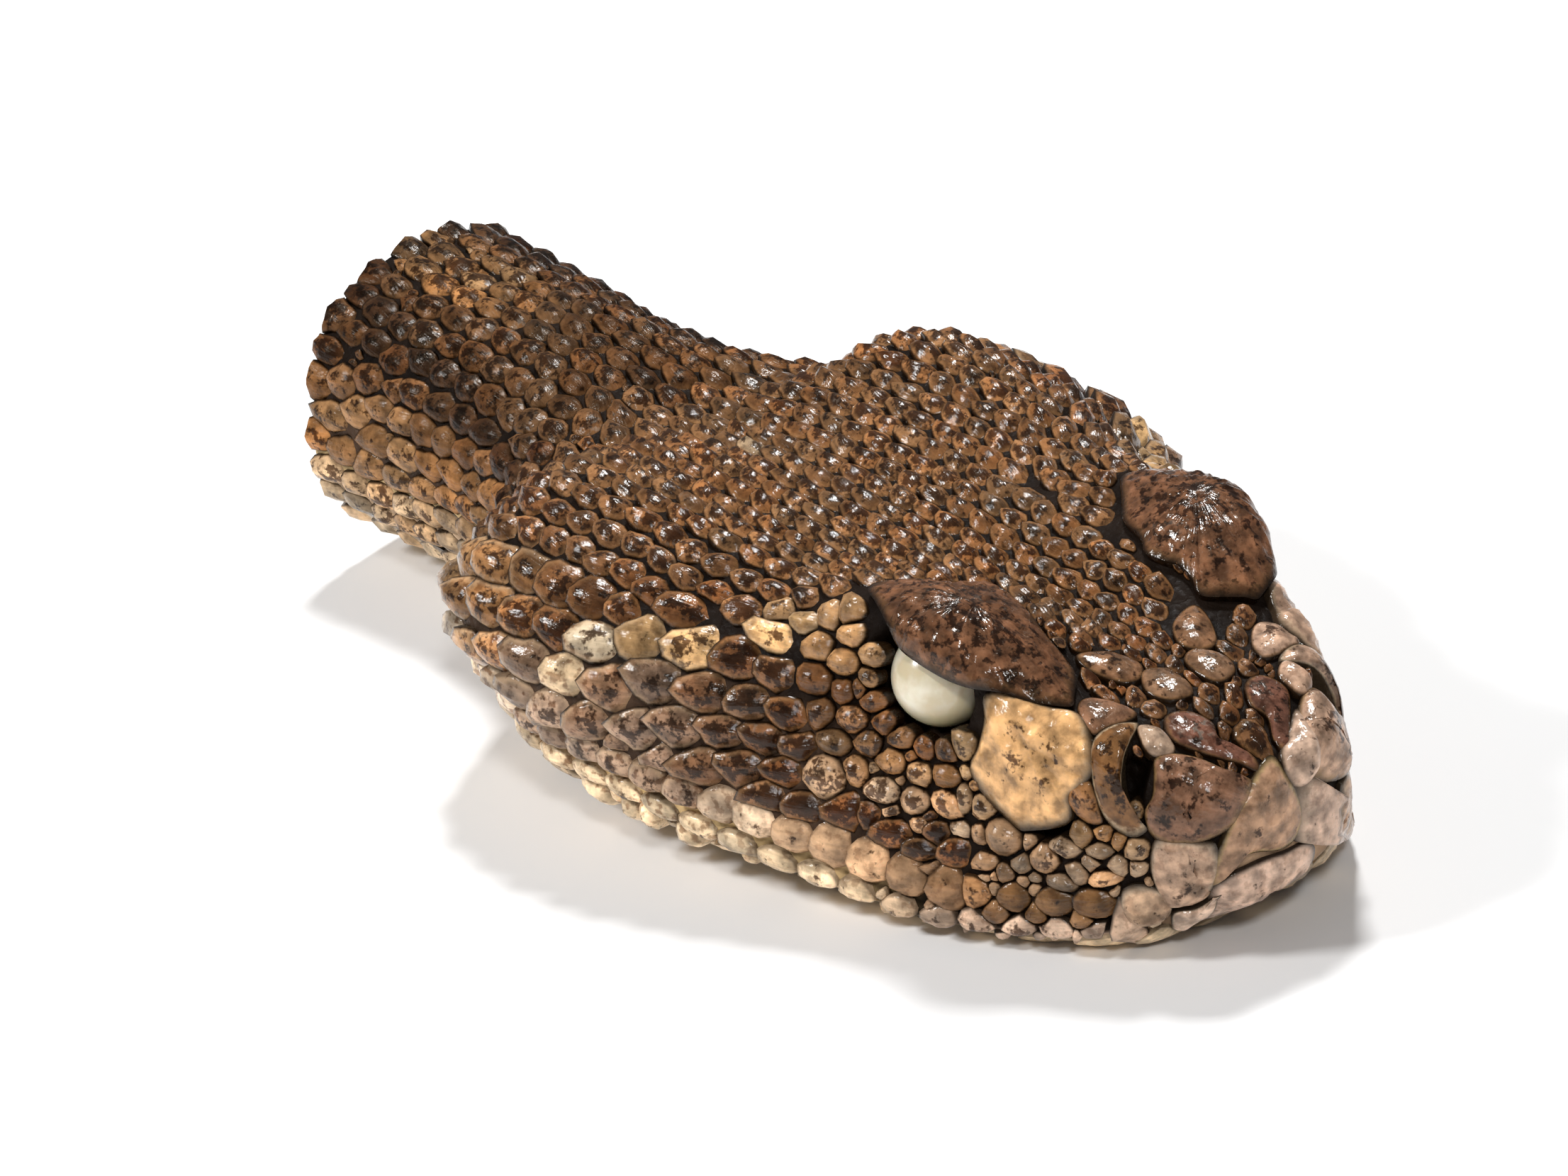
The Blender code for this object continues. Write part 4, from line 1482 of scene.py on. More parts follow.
SNOUT_PLATES = (
    PlateTrace("nose_plate", (
        (1796, 1076), (1812, 1094), (1829, 1124), (1836, 1152), (1826, 1182), (1805, 1197), (1771, 1201),
        (1748, 1214), (1733, 1234), (1718, 1246), (1719, 1222), (1732, 1184), (1751, 1141), (1772, 1102)),
        lift=0.05, dome=0.4, tint=(0.36, 0.21, 0.125), rim=(0.62, 0.44, 0.20), rim_share=0.8, speck=0.3,
        blotch=0.28, from_front=True, mirrored=False,
    ),
    PlateTrace("chin_plate", (
        (1719, 1259), (1738, 1241), (1764, 1227), (1790, 1215), (1814, 1207), (1838, 1195), (1851, 1199),
        (1849, 1218), (1836, 1234), (1800, 1250), (1760, 1268), (1716, 1284)),
        lift=0.0, dome=0.35, tint=(0.56, 0.38, 0.28), rim=(0.70, 0.50, 0.38), rim_share=0.8, blotch=0.25,
        from_front=True, mirrored=False,
    ),
    PlateTrace("far_prenasal", (
        (1812, 1062), (1822, 1038), (1830, 1012), (1846, 1020), (1862, 1046), (1860, 1082), (1844, 1106),
        (1828, 1108), (1815, 1086)),
        lift=0.05, dome=0.45, tint=(0.48, 0.33, 0.24), rim=(0.52, 0.36, 0.24), rim_share=0.5, blotch=0.25,
        from_front=True, mirrored=False,
    ),
    PlateTrace("far_front_lip", (
        (1844, 1114), (1866, 1104), (1890, 1118), (1898, 1146), (1884, 1178), (1846, 1190), (1838, 1168),
        (1842, 1140)),
        lift=0.05, dome=0.4, tint=(0.50, 0.34, 0.25), rim=INK.pale_lip, rim_share=0.5, blotch=0.25,
        from_front=True, mirrored=False,
    ),
    PlateTrace("preocular", (
        (1395, 985), (1442, 986), (1476, 999), (1515, 1007), (1532, 1042), (1534, 1084), (1518, 1109),
        (1505, 1120), (1501, 1153), (1450, 1160), (1427, 1149), (1375, 1088), (1384, 1053), (1392, 1020)),
        lift=0.1, dome=0.65, tint=(0.62, 0.35, 0.15), far_tint=FAR_SNOUT, rim=INK.cream, rim_share=0.4,
        speck=0.2, wrinkle=0.22, wrinkle_mm=0.6, shoulder=3.5, blotch=0.3,
    ),
    PlateTrace("loreal", (
        (1503, 1122), (1515, 1105), (1534, 1103), (1543, 1122), (1549, 1145), (1551, 1160), (1534, 1160),
        (1515, 1145)),
        tint=(0.26, 0.12, 0.045), rim_share=0.8, dome=0.3,
    ),
    PlateTrace("postnasal", (
        (1541, 1053), (1553, 1034), (1580, 1021), (1603, 1022), (1593, 1045), (1584, 1072), (1581, 1103),
        (1585, 1130), (1595, 1153), (1614, 1164), (1599, 1174), (1576, 1166), (1557, 1147), (1545, 1116),
        (1540, 1084)),
        lift=0.08, dome=0.4, tint=(0.17, 0.078, 0.028), far_tint=FAR_SNOUT, rim=INK.cream, rim_share=0.8,
    ),
    PlateTrace("nasal_cap", (
        (1608, 1023), (1637, 1027), (1655, 1049), (1653, 1062), (1635, 1066), (1620, 1060), (1610, 1042)),
        lift=0.08, dome=0.4, tint=(0.42, 0.29, 0.20), far_tint=FAR_SNOUT, rim_share=0.5, blotch=0.25,
    ),
    PlateTrace("prenasal", (
        (1633, 1070), (1656, 1064), (1694, 1071), (1733, 1088), (1761, 1099), (1761, 1122), (1748, 1149),
        (1729, 1168), (1694, 1185), (1656, 1187), (1626, 1174), (1617, 1145), (1628, 1122), (1630, 1095)),
        lift=0.05, dome=0.55, tint=(0.19, 0.095, 0.055), far_tint=FAR_SNOUT, rim=(0.42, 0.25, 0.10),
        rim_share=0.7, shoulder=3.0, blotch=0.36,
    ),
    PlateTrace("front_lip", (
        (1633, 1193), (1656, 1190), (1694, 1194), (1712, 1207), (1715, 1237), (1705, 1262), (1683, 1276),
        (1656, 1281), (1635, 1258), (1626, 1225)),
        lift=0.02, dome=0.5, tint=(0.42, 0.27, 0.18), rim=INK.pale_lip, rim_share=0.6, blotch=0.3,
    ),
    PlateTrace("second_lip", (
        (1588, 1262), (1616, 1256), (1643, 1266), (1652, 1284), (1641, 1299), (1598, 1303), (1584, 1283)),
        tint=(0.45, 0.29, 0.18), rim=INK.pale_lip, rim_share=0.6, blotch=0.3,
    ),
    PlateTrace("front_lower_lip", (
        (1660, 1290), (1686, 1285), (1707, 1273), (1717, 1268), (1712, 1287), (1690, 1303), (1666, 1314),
        (1656, 1304)),
        lift=0.1, dome=0.25, tint=(0.60, 0.43, 0.32), rim=INK.pale_lip, rim_share=0.6, blotch=0.2,
        mirrored=False,
    ),
    PlateTrace("rear_canthal", (
        (1524, 923), (1564, 919), (1606, 934), (1606, 954), (1580, 959), (1541, 944)),
        tint=(0.20, 0.10, 0.05), rim_share=0.7,
    ),
    PlateTrace("front_canthal", (
        (1614, 946), (1645, 942), (1675, 961), (1679, 977), (1648, 984), (1618, 971)),
        tint=(0.20, 0.11, 0.06), rim_share=0.7,
    ),
    PlateTrace("internasal", (
        (1648, 1011), (1675, 1003), (1710, 1019), (1722, 1042), (1763, 1062), (1765, 1080), (1717, 1066),
        (1671, 1050), (1652, 1035)),
        tint=(0.13, 0.055, 0.035), rim_share=0.6, speck=0.6,
    ),
    PlateTrace("upper_preocular", (
        (1522, 1000), (1536, 984), (1575, 990), (1600, 1003), (1590, 1014), (1560, 1024), (1540, 1032)),
        tint=(0.20, 0.10, 0.055), far_tint=FAR_SNOUT, rim_share=0.5, dome=0.3,
    ),
)


@dataclass
class Plate:
    """A large plate on both sides of the head, raised over its traced outline."""

    trace: PlateTrace
    samples: int = 64
    rings: tuple = (0.12, 0.25, 0.4, 0.55, 0.7, 0.82, 0.91, 0.97, 1.0)
    skirt_share: float = 0.99
    skirt_depth: float = 0.6

    def corners(self) -> Array:
        """The traced corners on the skin: run and line, or y and z for a plate taken from the front."""
        locate = LENS.locate_front if self.trace.from_front else LENS.locate
        return locate(np.array(self.trace.outline, float), self.trace.lift + 0.1)

    def outline(self, corners: Array) -> Array:
        """A smooth closed curve through corners."""
        count = len(corners)
        spot = np.arange(self.samples) * count / self.samples
        first = np.floor(spot).astype(int)
        t = (spot - first)[:, None]
        before, start, end, after = (corners[(first + k) % count] for k in (-1, 0, 1, 2))
        curve = catmull_rom(before, start, end, after, t)
        middle = (curve.min(0) + curve.max(0)) / 2
        return middle + (curve - middle) * self.trace.swell

    def build(self, stock: MeshStock, outline: Array, side: float) -> None:
        """Adds the plate on one side: rings shrink towards the middle, with a rounded edge and wrinkles.

        Args:
            stock: where the plate goes.
            outline: run and line of its edge on the right side.
            side: 1 for the right, as traced, or -1 for the left.
        """
        trace = self.trace
        outline = outline * np.array([1.0, side])
        order = 1 if self.turns_left(outline) else -1
        outline = outline[::order]
        middle = (outline.min(0) + outline.max(0)) / 2
        share, index, skirt = spokes(self.rings, len(outline), self.skirt_share)
        spot = middle + (outline[index] - middle) * share[:, None]
        place = np.stack([spot[:, 0] / 3.0, spot[:, 1] / (3.0 if trace.from_front else 1.0), share], -1)
        spot = FORM.front_place(spot) if trace.from_front else spot
        on = FORM.frame(spot[:, 0], spot[:, 1])
        around = index * 2 * math.pi / len(outline)
        folded = np.stack([np.cos(around), np.sin(around), 0.05 * share], -1)
        folds = grain(on.point, trace.wrinkle_mm, 11.0) + 0.5 * grain(on.point, trace.wrinkle_mm / 2, 23.0)
        height = trace.lift + trace.dome * (1.0 - share**trace.shoulder)
        height += trace.wrinkle * folds * smooth_step((1.0 - share) / 0.15)
        pleated = smooth_step(share / 0.4) * smooth_step((1.02 - share) / 0.2)
        height += trace.pleat * grain(folded, 0.06, 41.0) * pleated
        height += trace.hang * smooth_step((np.abs(spot[:, 1]) - trace.hang_line) / 0.5)
        height = np.where(skirt, -self.skirt_depth, height)
        points = on.point + on.out * height[:, None]
        points[:, 2] = np.maximum(points[:, 2], 0.0)
        # Painted light and shade: the plate's tone follows its folds, lighter on their crests and darker in
        # their dips.
        tone = 1.0 + 0.25 * folds[:, None]
        dye = np.array((side < 0 and trace.far_tint) or trace.tint)
        tint = np.concatenate([dye * tone, np.full((len(share), 1), trace.speck)], 1)
        rim = np.tile([*trace.rim, trace.rim_share], (len(share), 1))
        maker = ScaleMaker(rings=self.rings)
        # Blotch, matte, and full strength for the painted shade line at the plate's edge.
        wear = np.tile([trace.blotch, trace.matte, 1.0], (len(share), 1))
        stock.add(points, maker.faces(len(outline)), tint=tint, rim=rim, place=place, wear=wear)

    @staticmethod
    def turns_left(outline: Array) -> bool:
        """Whether the outline runs so that its faces point out of the skin."""
        x, y = outline.T
        return float((x * np.roll(y, -1) - np.roll(x, -1) * y).sum()) > 0.0

    def ring(self, outline: Array, side: float) -> Array:
        """The places of the outline on the skin, in mm."""
        middle = (outline.min(0) + outline.max(0)) / 2
        edge = (middle + (outline - middle) * self.trace.groove) * np.array([1.0, side])
        edge = FORM.front_place(edge) if self.trace.from_front else edge
        return FORM.point(edge[:, 0], edge[:, 1])


@dataclass(frozen=True)
class Eye:
    """A clouded eyeball with a slightly flattened lens, set where the solid model has it."""

    centre: tuple = (-14.3, 7.7, 11.9)
    radius: float = 2.45
    steps: int = 72

    def build(self, side: float, name: str, material: Material) -> Piece:
        """One eye: a sphere turned about the line of sight, with a low swell where the lens lies.

        Args:
            side: -1 for the animal's right, 1 for its left.
            name: the object's name.
            material: its finish.

        Returns:
            The eye's object.
        """
        centre = np.array(self.centre) * np.array([1.0, side, 1.0])
        axis = unit(np.array(SIGHT_AXIS) * np.array([1.0, side, 1.0]))
        up = unit(np.array([0.0, 0.0, 1.0]) - axis * axis[2])
        across = np.cross(up, axis)
        tilt, turn = np.meshgrid(np.linspace(0, math.pi, self.steps // 2 + 1)[1:-1],
                                 np.arange(self.steps) * 2 * math.pi / self.steps, indexing="ij")
        radius = self.radius * (1.0 - 0.02 * smooth_step((tilt - 0.3) / 0.5))
        direction = (np.cos(tilt)[..., None] * axis
                     + np.sin(tilt)[..., None] * (np.cos(turn)[..., None] * up
                                                  + np.sin(turn)[..., None] * across))
        points = centre + radius[..., None] * direction
        poles = centre + np.array([[1.0], [-0.98]]) * axis * self.radius
        rows, count = tilt.shape
        k = np.arange(count)
        after = (k + 1) % count
        near = (np.arange(rows - 1) * count)[:, None]
        bands = np.stack([near + k, near + count + k, near + count + after, near + after], -1)
        front, rear = rows * count, rows * count + 1
        caps = [np.stack([np.full(count, front), k, after], -1),
                np.stack([np.full(count, rear), (rows - 1) * count + after, (rows - 1) * count + k], -1)]
        low = np.clip(0.5 - 0.5 * np.concatenate([direction.reshape(-1, 3), [axis, -axis]])[:, 2], 0, 1)
        stock = MeshStock()
        stock.add(np.concatenate([points.reshape(-1, 3), poles]), [bands, *caps],
                  place=np.stack([low, low, low], -1))
        piece = stock.make(name, material)
        self.face_out(piece)
        return piece

    @staticmethod
    def face_out(piece: Piece) -> None:
        """Turns the faces outwards if the mesh is inside out."""
        mesh = piece.data
        corner = np.empty(len(mesh.vertices) * 3)
        mesh.vertices.foreach_get("co", corner)
        middle = corner.reshape(-1, 3).mean(0)
        face = mesh.polygons[0]
        if face.normal.dot(face.center - Vector(middle)) < 0:
            mesh.flip_normals()


@dataclass
class SkinShell:
    """The bare skin under the scales, closed at the nose and across the cut, with its hollows."""

    sink: float = 0.2
    run_steps: int = 260
    line_steps: int = 248
    cut_rim_share: float = 0.86
    cut_recess: float = 0.8
    pit_centre: tuple = (-7.0, 8.3, 6.6)
    pit_half: tuple = (1.0, 0.55)
    pit_depth: float = 1.7
    pit_turn: float = 0.1
    nostril_centre: tuple = (-3.5, 6.0, 9.4)
    nostril_half: tuple = (0.55, 1.15)
    nostril_depth: float = 1.2
    lip_depth: float = 0.2
    lip_half: float = 0.055
    lip_end_x: float = -41.0
    lip_fade: float = 3.0

    def socket(self, points: Array, eye: Eye, side: float) -> Array:
        """Sinks the skin round an eye into a cup: inside the eyeball's rim it follows the ball's back.

        Args:
            points: skin places.
            eye: the eye that sits there.
            side: -1 for the right, 1 for the left.

        Returns:
            The places, moved in along the line of sight.
        """
        centre = np.array(eye.centre) * np.array([1.0, side, 1.0])
        axis = unit(np.array(SIGHT_AXIS) * np.array([1.0, side, 1.0]))
        away = points - centre
        depth = away @ axis
        radius = np.linalg.norm(away - depth[..., None] * axis, axis=-1)
        room = eye.radius + 0.12
        cup = np.where(radius < room, -np.sqrt(np.maximum(room**2 - radius**2, 0.0)), (radius - room) * 2.6)
        near = (radius < 4.0) & (points[..., 1] * side > 0)
        moved = np.minimum(depth, cup)
        return points + np.where(near, moved - depth, 0.0)[..., None] * axis

    @staticmethod
    def hollow(points: Array, centre: tuple, half: tuple, turn: float, depth: float) -> Array:
        """Depth of an oval hollow on both sides: full inside 0.6 of the oval, and gone at 1.5 times its size.

        Args:
            points: skin places.
            centre: middle of the hollow on the left side.
            half: half sizes of the oval along and up.
            turn: turn of the oval, in radians.
            depth: its depth in the middle.

        Returns:
            A depth for each place.
        """
        folded = points * np.array([1.0, 0.0, 1.0]) + np.abs(points) * np.array([0.0, 1.0, 0.0])
        away = folded - np.array(centre)
        along = away[..., 0] * math.cos(turn) + away[..., 2] * math.sin(turn)
        across = -away[..., 0] * math.sin(turn) + away[..., 2] * math.cos(turn)
        share = np.hypot(along / half[0], across / half[1])
        return depth * smooth_step((1.5 - share) / 0.9) * (np.abs(away[..., 1]) < 2.5)

    def tint(self, points: Array, line: Array, deep: Array) -> Array:
        """Skin colour: near black on top, creamy at the lip groove and below, with painted shade that darkens
        it with depth in the hollows.
        """
        half = np.abs(line)
        colour = np.tile(np.array(INK.bare_skin), (*points.shape[:-1], 1))
        rear = smooth_step((-points[..., 0] - 12.0) / 8.0)
        colour = SkinPattern.blend(colour, INK.cheek_skin, smooth_step((half - 2.8) / 0.3) * rear)
        colour = SkinPattern.blend(colour, INK.groove, smooth_step((half - 3.75) / 0.2) * rear)
        colour = SkinPattern.blend(colour, INK.chin, smooth_step((half - 4.2) / 0.3) * 0.7)
        colour = SkinPattern.blend(colour, INK.sole_skin, smooth_step((half - 4.6) / 0.6) * 0.6)
        # Painted shade: the deeper the place lies, the darker it is.
        colour = SkinPattern.blend(colour, INK.hollow, np.clip(deep / 0.7, 0, 1) * 0.9)
        return np.concatenate([colour, np.ones((*points.shape[:-1], 1))], -1)

    def build(self, eye: Eye, material: Material) -> Piece:
        """The skin's object: a ring grid from the nose to the cut, and a sunk face across the cut.

        Args:
            eye: the eye that the sockets fit.
            material: its finish.

        Returns:
            The skin.
        """
        run = np.r_[np.linspace(0.08, 1.0, 12)[:-1], 1.0 + np.linspace(0, 1, self.run_steps) ** 1.12 * 76.8]
        line = np.linspace(-BELLY, BELLY, self.line_steps + 1)[:-1]
        line = line + 0.22 * np.sin(line * math.pi) / math.pi
        run, line = np.meshgrid(run, line, indexing="ij")
        at = FORM.frame(run, line)
        half = np.abs(line)
        folds = grain(at.point, 0.9, 7.0) + 0.6 * grain(at.point, 0.4, 9.0)
        lip = np.exp(-(((half - LIP_LINE) / self.lip_half) ** 2))
        lip *= smooth_step((at.point[..., 0] - self.lip_end_x) / self.lip_fade)
        deep = self.hollow(at.point, self.pit_centre, self.pit_half, self.pit_turn, self.pit_depth)
        deep += self.hollow(at.point, self.nostril_centre, self.nostril_half, 0.0, self.nostril_depth)
        points = at.point - at.out * (self.sink + 0.05 * folds + self.lip_depth * lip + deep)[..., None]
        for side in (-1.0, 1.0):
            points = self.socket(points, eye, side)
        points[..., 2] = np.maximum(points[..., 2], 0.05)
        # The pit, the nostril and the front of the lip groove get painted shade by their depth.
        tint = self.tint(at.point, line, deep + 0.6 * lip * smooth_step((at.point[..., 0] + 20.0) / 8.0))

        middle = points[-1].mean(0)
        inner = [middle + (points[-1] - middle) * s + np.array([self.cut_recess * d, 0, 0])
                 for s, d in ((0.96, 0.15), (self.cut_rim_share, 0.85), (0.6, 1.0), (0.3, 1.0))]
        inner = np.array(inner)
        inner[1:, :, 0] += 0.12 * grain(inner[1:], 1.1, 31.0)
        nose = points[0].mean(0)
        everything = np.concatenate([points.reshape(-1, 3), inner.reshape(-1, 3), [nose],
                                     [middle + np.array([self.cut_recess, 0, 0])]])
        flesh = np.array([*INK.flesh, 1.0])
        colours = np.concatenate([tint.reshape(-1, 4), np.tile(flesh, (inner.shape[0] * inner.shape[1], 1)),
                                  tint[0].mean(0)[None], flesh[None]])
        rows, count = points.shape[0] + len(inner), points.shape[1]
        k = np.arange(count)
        after = (k + 1) % count
        near = (np.arange(rows - 1) * count)[:, None]
        bands = np.stack([near + k, near + after, near + count + after, near + count + k], -1)
        last = (rows - 1) * count
        caps = [np.stack([np.full(count, rows * count), after, k], -1),
                np.stack([np.full(count, rows * count + 1), last + k, last + after], -1)]
        stock = MeshStock()
        stock.add(everything, [bands, *caps], tint=colours)
        skin = stock.make("bare_skin", material)
        Eye.face_out(skin)
        return skin


@dataclass
class Covering:
    """Every scale and plate of the head and neck."""

    eye: Eye
    lip_count: int = 15
    bead_ring_mm: tuple = (3.3, 4.4, 5.6)
    bead_mm: tuple = (1.05, 1.3, 1.5)
    bead_spread: tuple = (1.0, 0.86, 1.16, 0.95, 1.08, 0.8, 1.2) * 6
    scute_first: float = 46.0
    scute_last: float = 75.2
    scute_count: int = 11
    bead_start: float = 88.0
    eye_room: float = 1.3
    groove_half: float = 0.03
    groove_front: float = 13.0
    groove_rear: float = 42.0
    socket_room: float = 0.7
    pit_room: float = 0.9
    nostril_room: float = 1.5
    front_plate_rear: float = -3.0
    pixels_per_mm: float = 32.0
    bead_stretch: float = 1.15
    bead_end: float = 212.0
    shield_run: tuple = (19.0, 48.0)
    shield_line: tuple = (2.35, 3.72)
    seed: int = 11

    def lattices(self) -> list[Seats]:
        """Free seats of crown, nape, cheeks and throat."""
        crown = Lattice(Kind.CROWN, (
            (-3.0, 0.90, 1.25, -1.6, 1.6), (-9.0, 0.95, 1.35, -2.3, 2.3), (-16.0, 1.10, 1.60, -2.3, 2.3),
            (-25.0, 1.30, 1.95, -2.35, 2.35), (-40.0, 1.45, 2.2, -2.45, 2.45), (-47.0, 1.48, 2.25, -2.6, 2.6),
        ), -3.0, NECK_START_X).seats()
        neck = Lattice(Kind.NECK, (
            (-46.0, 1.48, 2.25, -2.7, 2.7), (-50.0, 1.5, 2.3, -5.5, 5.5), (-60.0, 1.65, 2.5, -5.5, 5.5),
            (-78.0, 1.85, 2.8, -5.5, 5.5),
        ), NECK_START_X - 1.1, -77.6).seats()
        cheek = Lattice(Kind.CHEEK, (
            (-8.0, 1.05, 1.35, 3.35, 3.62), (-14.0, 1.15, 1.5, 3.25, 3.66), (-18.0, 1.25, 1.75, 2.75, 3.68),
            (-22.0, 1.55, 2.2, 2.5, 3.7), (-30.0, 1.95, 2.75, 2.5, 3.7), (-40.0, 2.0, 2.85, 2.6, 3.8),
            (-48.0, 1.9, 2.7, 2.75, 5.2),
        ), -8.0, -49.0).seats().both_sides()
        throat = Lattice(Kind.THROAT, (
            (-2.5, 1.6, 2.6, 4.75, 6.9), (-44.0, 2.1, 3.2, 4.7, 6.9),
        ), -2.5, -46.0).seats().both_sides()
        return [crown, neck, cheek, throat]

    def lips(self) -> list[Seats]:
        """Fixed seats of the upper and lower lip rows."""
        rows = []
        for kind, line, wide, first, last, growth in ((Kind.UPPER_LIP, 3.84, 0.31, 11.5, 41.0, 0.25),
                                                      (Kind.LOWER_LIP, 4.2, 0.40, 3.4, 41.0, 0.9)):
            share = np.linspace(0.0, 1.0, self.lip_count if growth < 0.5 else self.lip_count + 3)
            run = first + (last - first) * (share + growth / 2 * share**2) / (1.0 + growth / 2)
            length = np.gradient(run)
            per_line = np.linalg.norm(FORM.frame(run, np.full(run.shape, line)).per_line, axis=-1)
            rows.append(Seats.even(run, line, length, wide * per_line * 1.15, kind, True).both_sides())
        return rows

    def beads(self) -> Seats:
        """Fixed bead seats round the lower half of each eye, in rings about its centre."""
        centre = LENS.pixels((np.array(self.eye.centre) * [1, -1, 1])[None])[0]
        scale = LENS.focal_pixels / LENS.distance * 1.16
        rings = []
        for radius, size in zip(self.bead_ring_mm, self.bead_mm):
            step = size * 0.98 / radius
            angle = np.arange(math.radians(self.bead_start), math.radians(self.bead_end), step)
            pixels = centre + radius * scale * np.stack([np.cos(angle), np.sin(angle)], -1)
            run, line = LENS.locate(pixels, 0.1).T
            wide = size * np.array(self.bead_spread[: len(angle)])
            rings.append(Seats.even(run, line, wide * self.bead_stretch, size, Kind.BEAD, True))
        return rings[0].join(*rings[1:]).both_sides()

    def pit_beads(self) -> Seats:
        """Fixed bead seats under the heat pit and in front of the lips, by their places in the photograph."""
        places = np.array((
            (1499, 1195, 62, 36), (1551, 1202, 46, 34), (1497, 1246, 50, 32), (1557, 1241, 57, 30),
            (1606, 1225, 30, 30), (1386, 1218, 50, 30), (1440, 1218, 40, 42), (1388, 1137, 50, 46),
            (1358, 1126, 30, 52), (1384, 1179, 34, 30), (1352, 1172, 34, 30),
        ), float)
        front_lips = np.array((
            (1377, 1262, 50, 50), (1430, 1268, 52, 52), (1487, 1275, 58, 52), (1547, 1279, 60, 50),
        ), float)
        rows = []
        for kind, group in ((Kind.BEAD, places), (Kind.UPPER_LIP, front_lips)):
            run, line = LENS.locate(group[:, :2], 0.1).T
            size = group[:, 2:] / self.pixels_per_mm
            rows.append(Seats.even(run, line, size[:, 0], size[:, 1], kind, True).both_sides())
        return rows[0].join(rows[1])

    def scutes(self, finish: Material) -> None:
        """Wide belly plates under the neck, each lapping over the one behind."""
        stock = MeshStock()
        corner = np.array((
            (-1, -1), (-1, -0.5), (-1, 0), (-1, 0.5), (-1, 1), (0.3, 1.06), (0.9, 0.9), (1, 0.5), (1, 0),
            (1, -0.5), (0.9, -0.9), (0.3, -1.06),
        ), float)
        trace = PlateTrace("scute", (), lift=0.0, dome=0.16, tint=INK.cream, rim_share=0.2, speck=0.2,
                           shoulder=2.4)
        plate = Plate(trace, 40, (0.5, 0.8, 0.93, 1.0))
        pitch = (self.scute_last - self.scute_first) / (self.scute_count - 1)
        for run in np.linspace(self.scute_first, self.scute_last, self.scute_count):
            outline = plate.outline(corner * np.array([0.52 * pitch, 1.55]) + np.array([run, BELLY]))
            plate.build(stock, outline, 1.0)
        dress(stock.make("belly_scutes", finish))

    def bounds(self) -> Array:
        """Places that scales keep clear of: edges of pits and eyes, and both sides of the mouth's groove."""
        rims = [LENS.locate(np.array(rim, float), 0.0) for rim in (PIT_EDGE, EYE_EDGE)]
        run = np.arange(self.groove_front, self.groove_rear, 0.5)
        lines = (LIP_LINE - self.groove_half, LIP_LINE + self.groove_half)
        edge = np.concatenate([*rims, *(np.stack([run, np.full(run.shape, line)], -1) for line in lines)])
        edge = np.concatenate([edge, edge * np.array([1.0, -1.0])])
        return FORM.point(edge[:, 0], edge[:, 1])

    def blocked(self, seats: Seats, edges: list) -> Array:
        """Which seats lie under a plate or on an eye.

        Args:
            seats: the seats to test.
            edges: pairs of a plate and its outline.

        Returns:
            A truth value for each seat.
        """
        place = FORM.point(seats.run, seats.line)
        folded = place * [1, 0, 1] + np.abs(place) * [0, 1, 0]
        hit = np.linalg.norm(folded - np.array(self.eye.centre), axis=-1) < self.eye.radius + self.socket_room
        rim = np.array(EYE_EDGE, float)
        rim = rim.mean(0) + (rim - rim.mean(0)) * self.eye_room
        hit |= inside(LENS.pixels(folded * [1, -1, 1]), rim)
        rooms = ((SkinShell.pit_centre, self.pit_room), (SkinShell.nostril_centre, self.nostril_room))
        for centre, room in rooms:
            hit |= np.linalg.norm(folded - np.array(centre), axis=-1) < room
        for plate, outline in edges:
            if plate.trace.from_front:
                hit |= inside(place[:, 1:], outline) & (place[:, 0] > self.front_plate_rear)
            else:
                hit |= inside(np.stack([seats.run, seats.line], -1), outline)
        return hit

    def build(self, finish: Material, plate_finish: Material) -> None:
        """Builds plates, then settles and raises all scales round them.

        Args:
            finish: material of the scales.
            plate_finish: material of the large plates.
        """
        rng = np.random.default_rng(self.seed)
        brow = Plate(BROW_SHIELD, 240, (*np.linspace(0.06, 0.94, 18), 0.98, 1.0))
        near_brow = brow.corners()
        far_brow = LENS.locate(np.array(FAR_BROW_EDGE, float), 0.3)
        hidden = np.concatenate([near_brow[13:], near_brow[:1]]) * np.array([1.0, -1.0])
        far_brow = np.concatenate([far_brow, hidden])
        brows, snout = MeshStock(), MeshStock()
        edges = []
        for corners in (near_brow, far_brow):
            outline = brow.outline(corners)
            brow.build(brows, outline, 1.0)
            edges.append((brow, outline))
        for trace in SNOUT_PLATES:
            plate = Plate(trace)
            outline = plate.outline(plate.corners())
            for side in (1.0, -1.0)[: 1 + trace.mirrored]:
                plate.build(snout, outline, side)
                edges.append((plate, outline * np.array([1.0, side])))
        dress(brows.make("brow_shields", plate_finish))
        dress(snout.make("snout_plates", plate_finish))
        self.scutes(plate_finish)

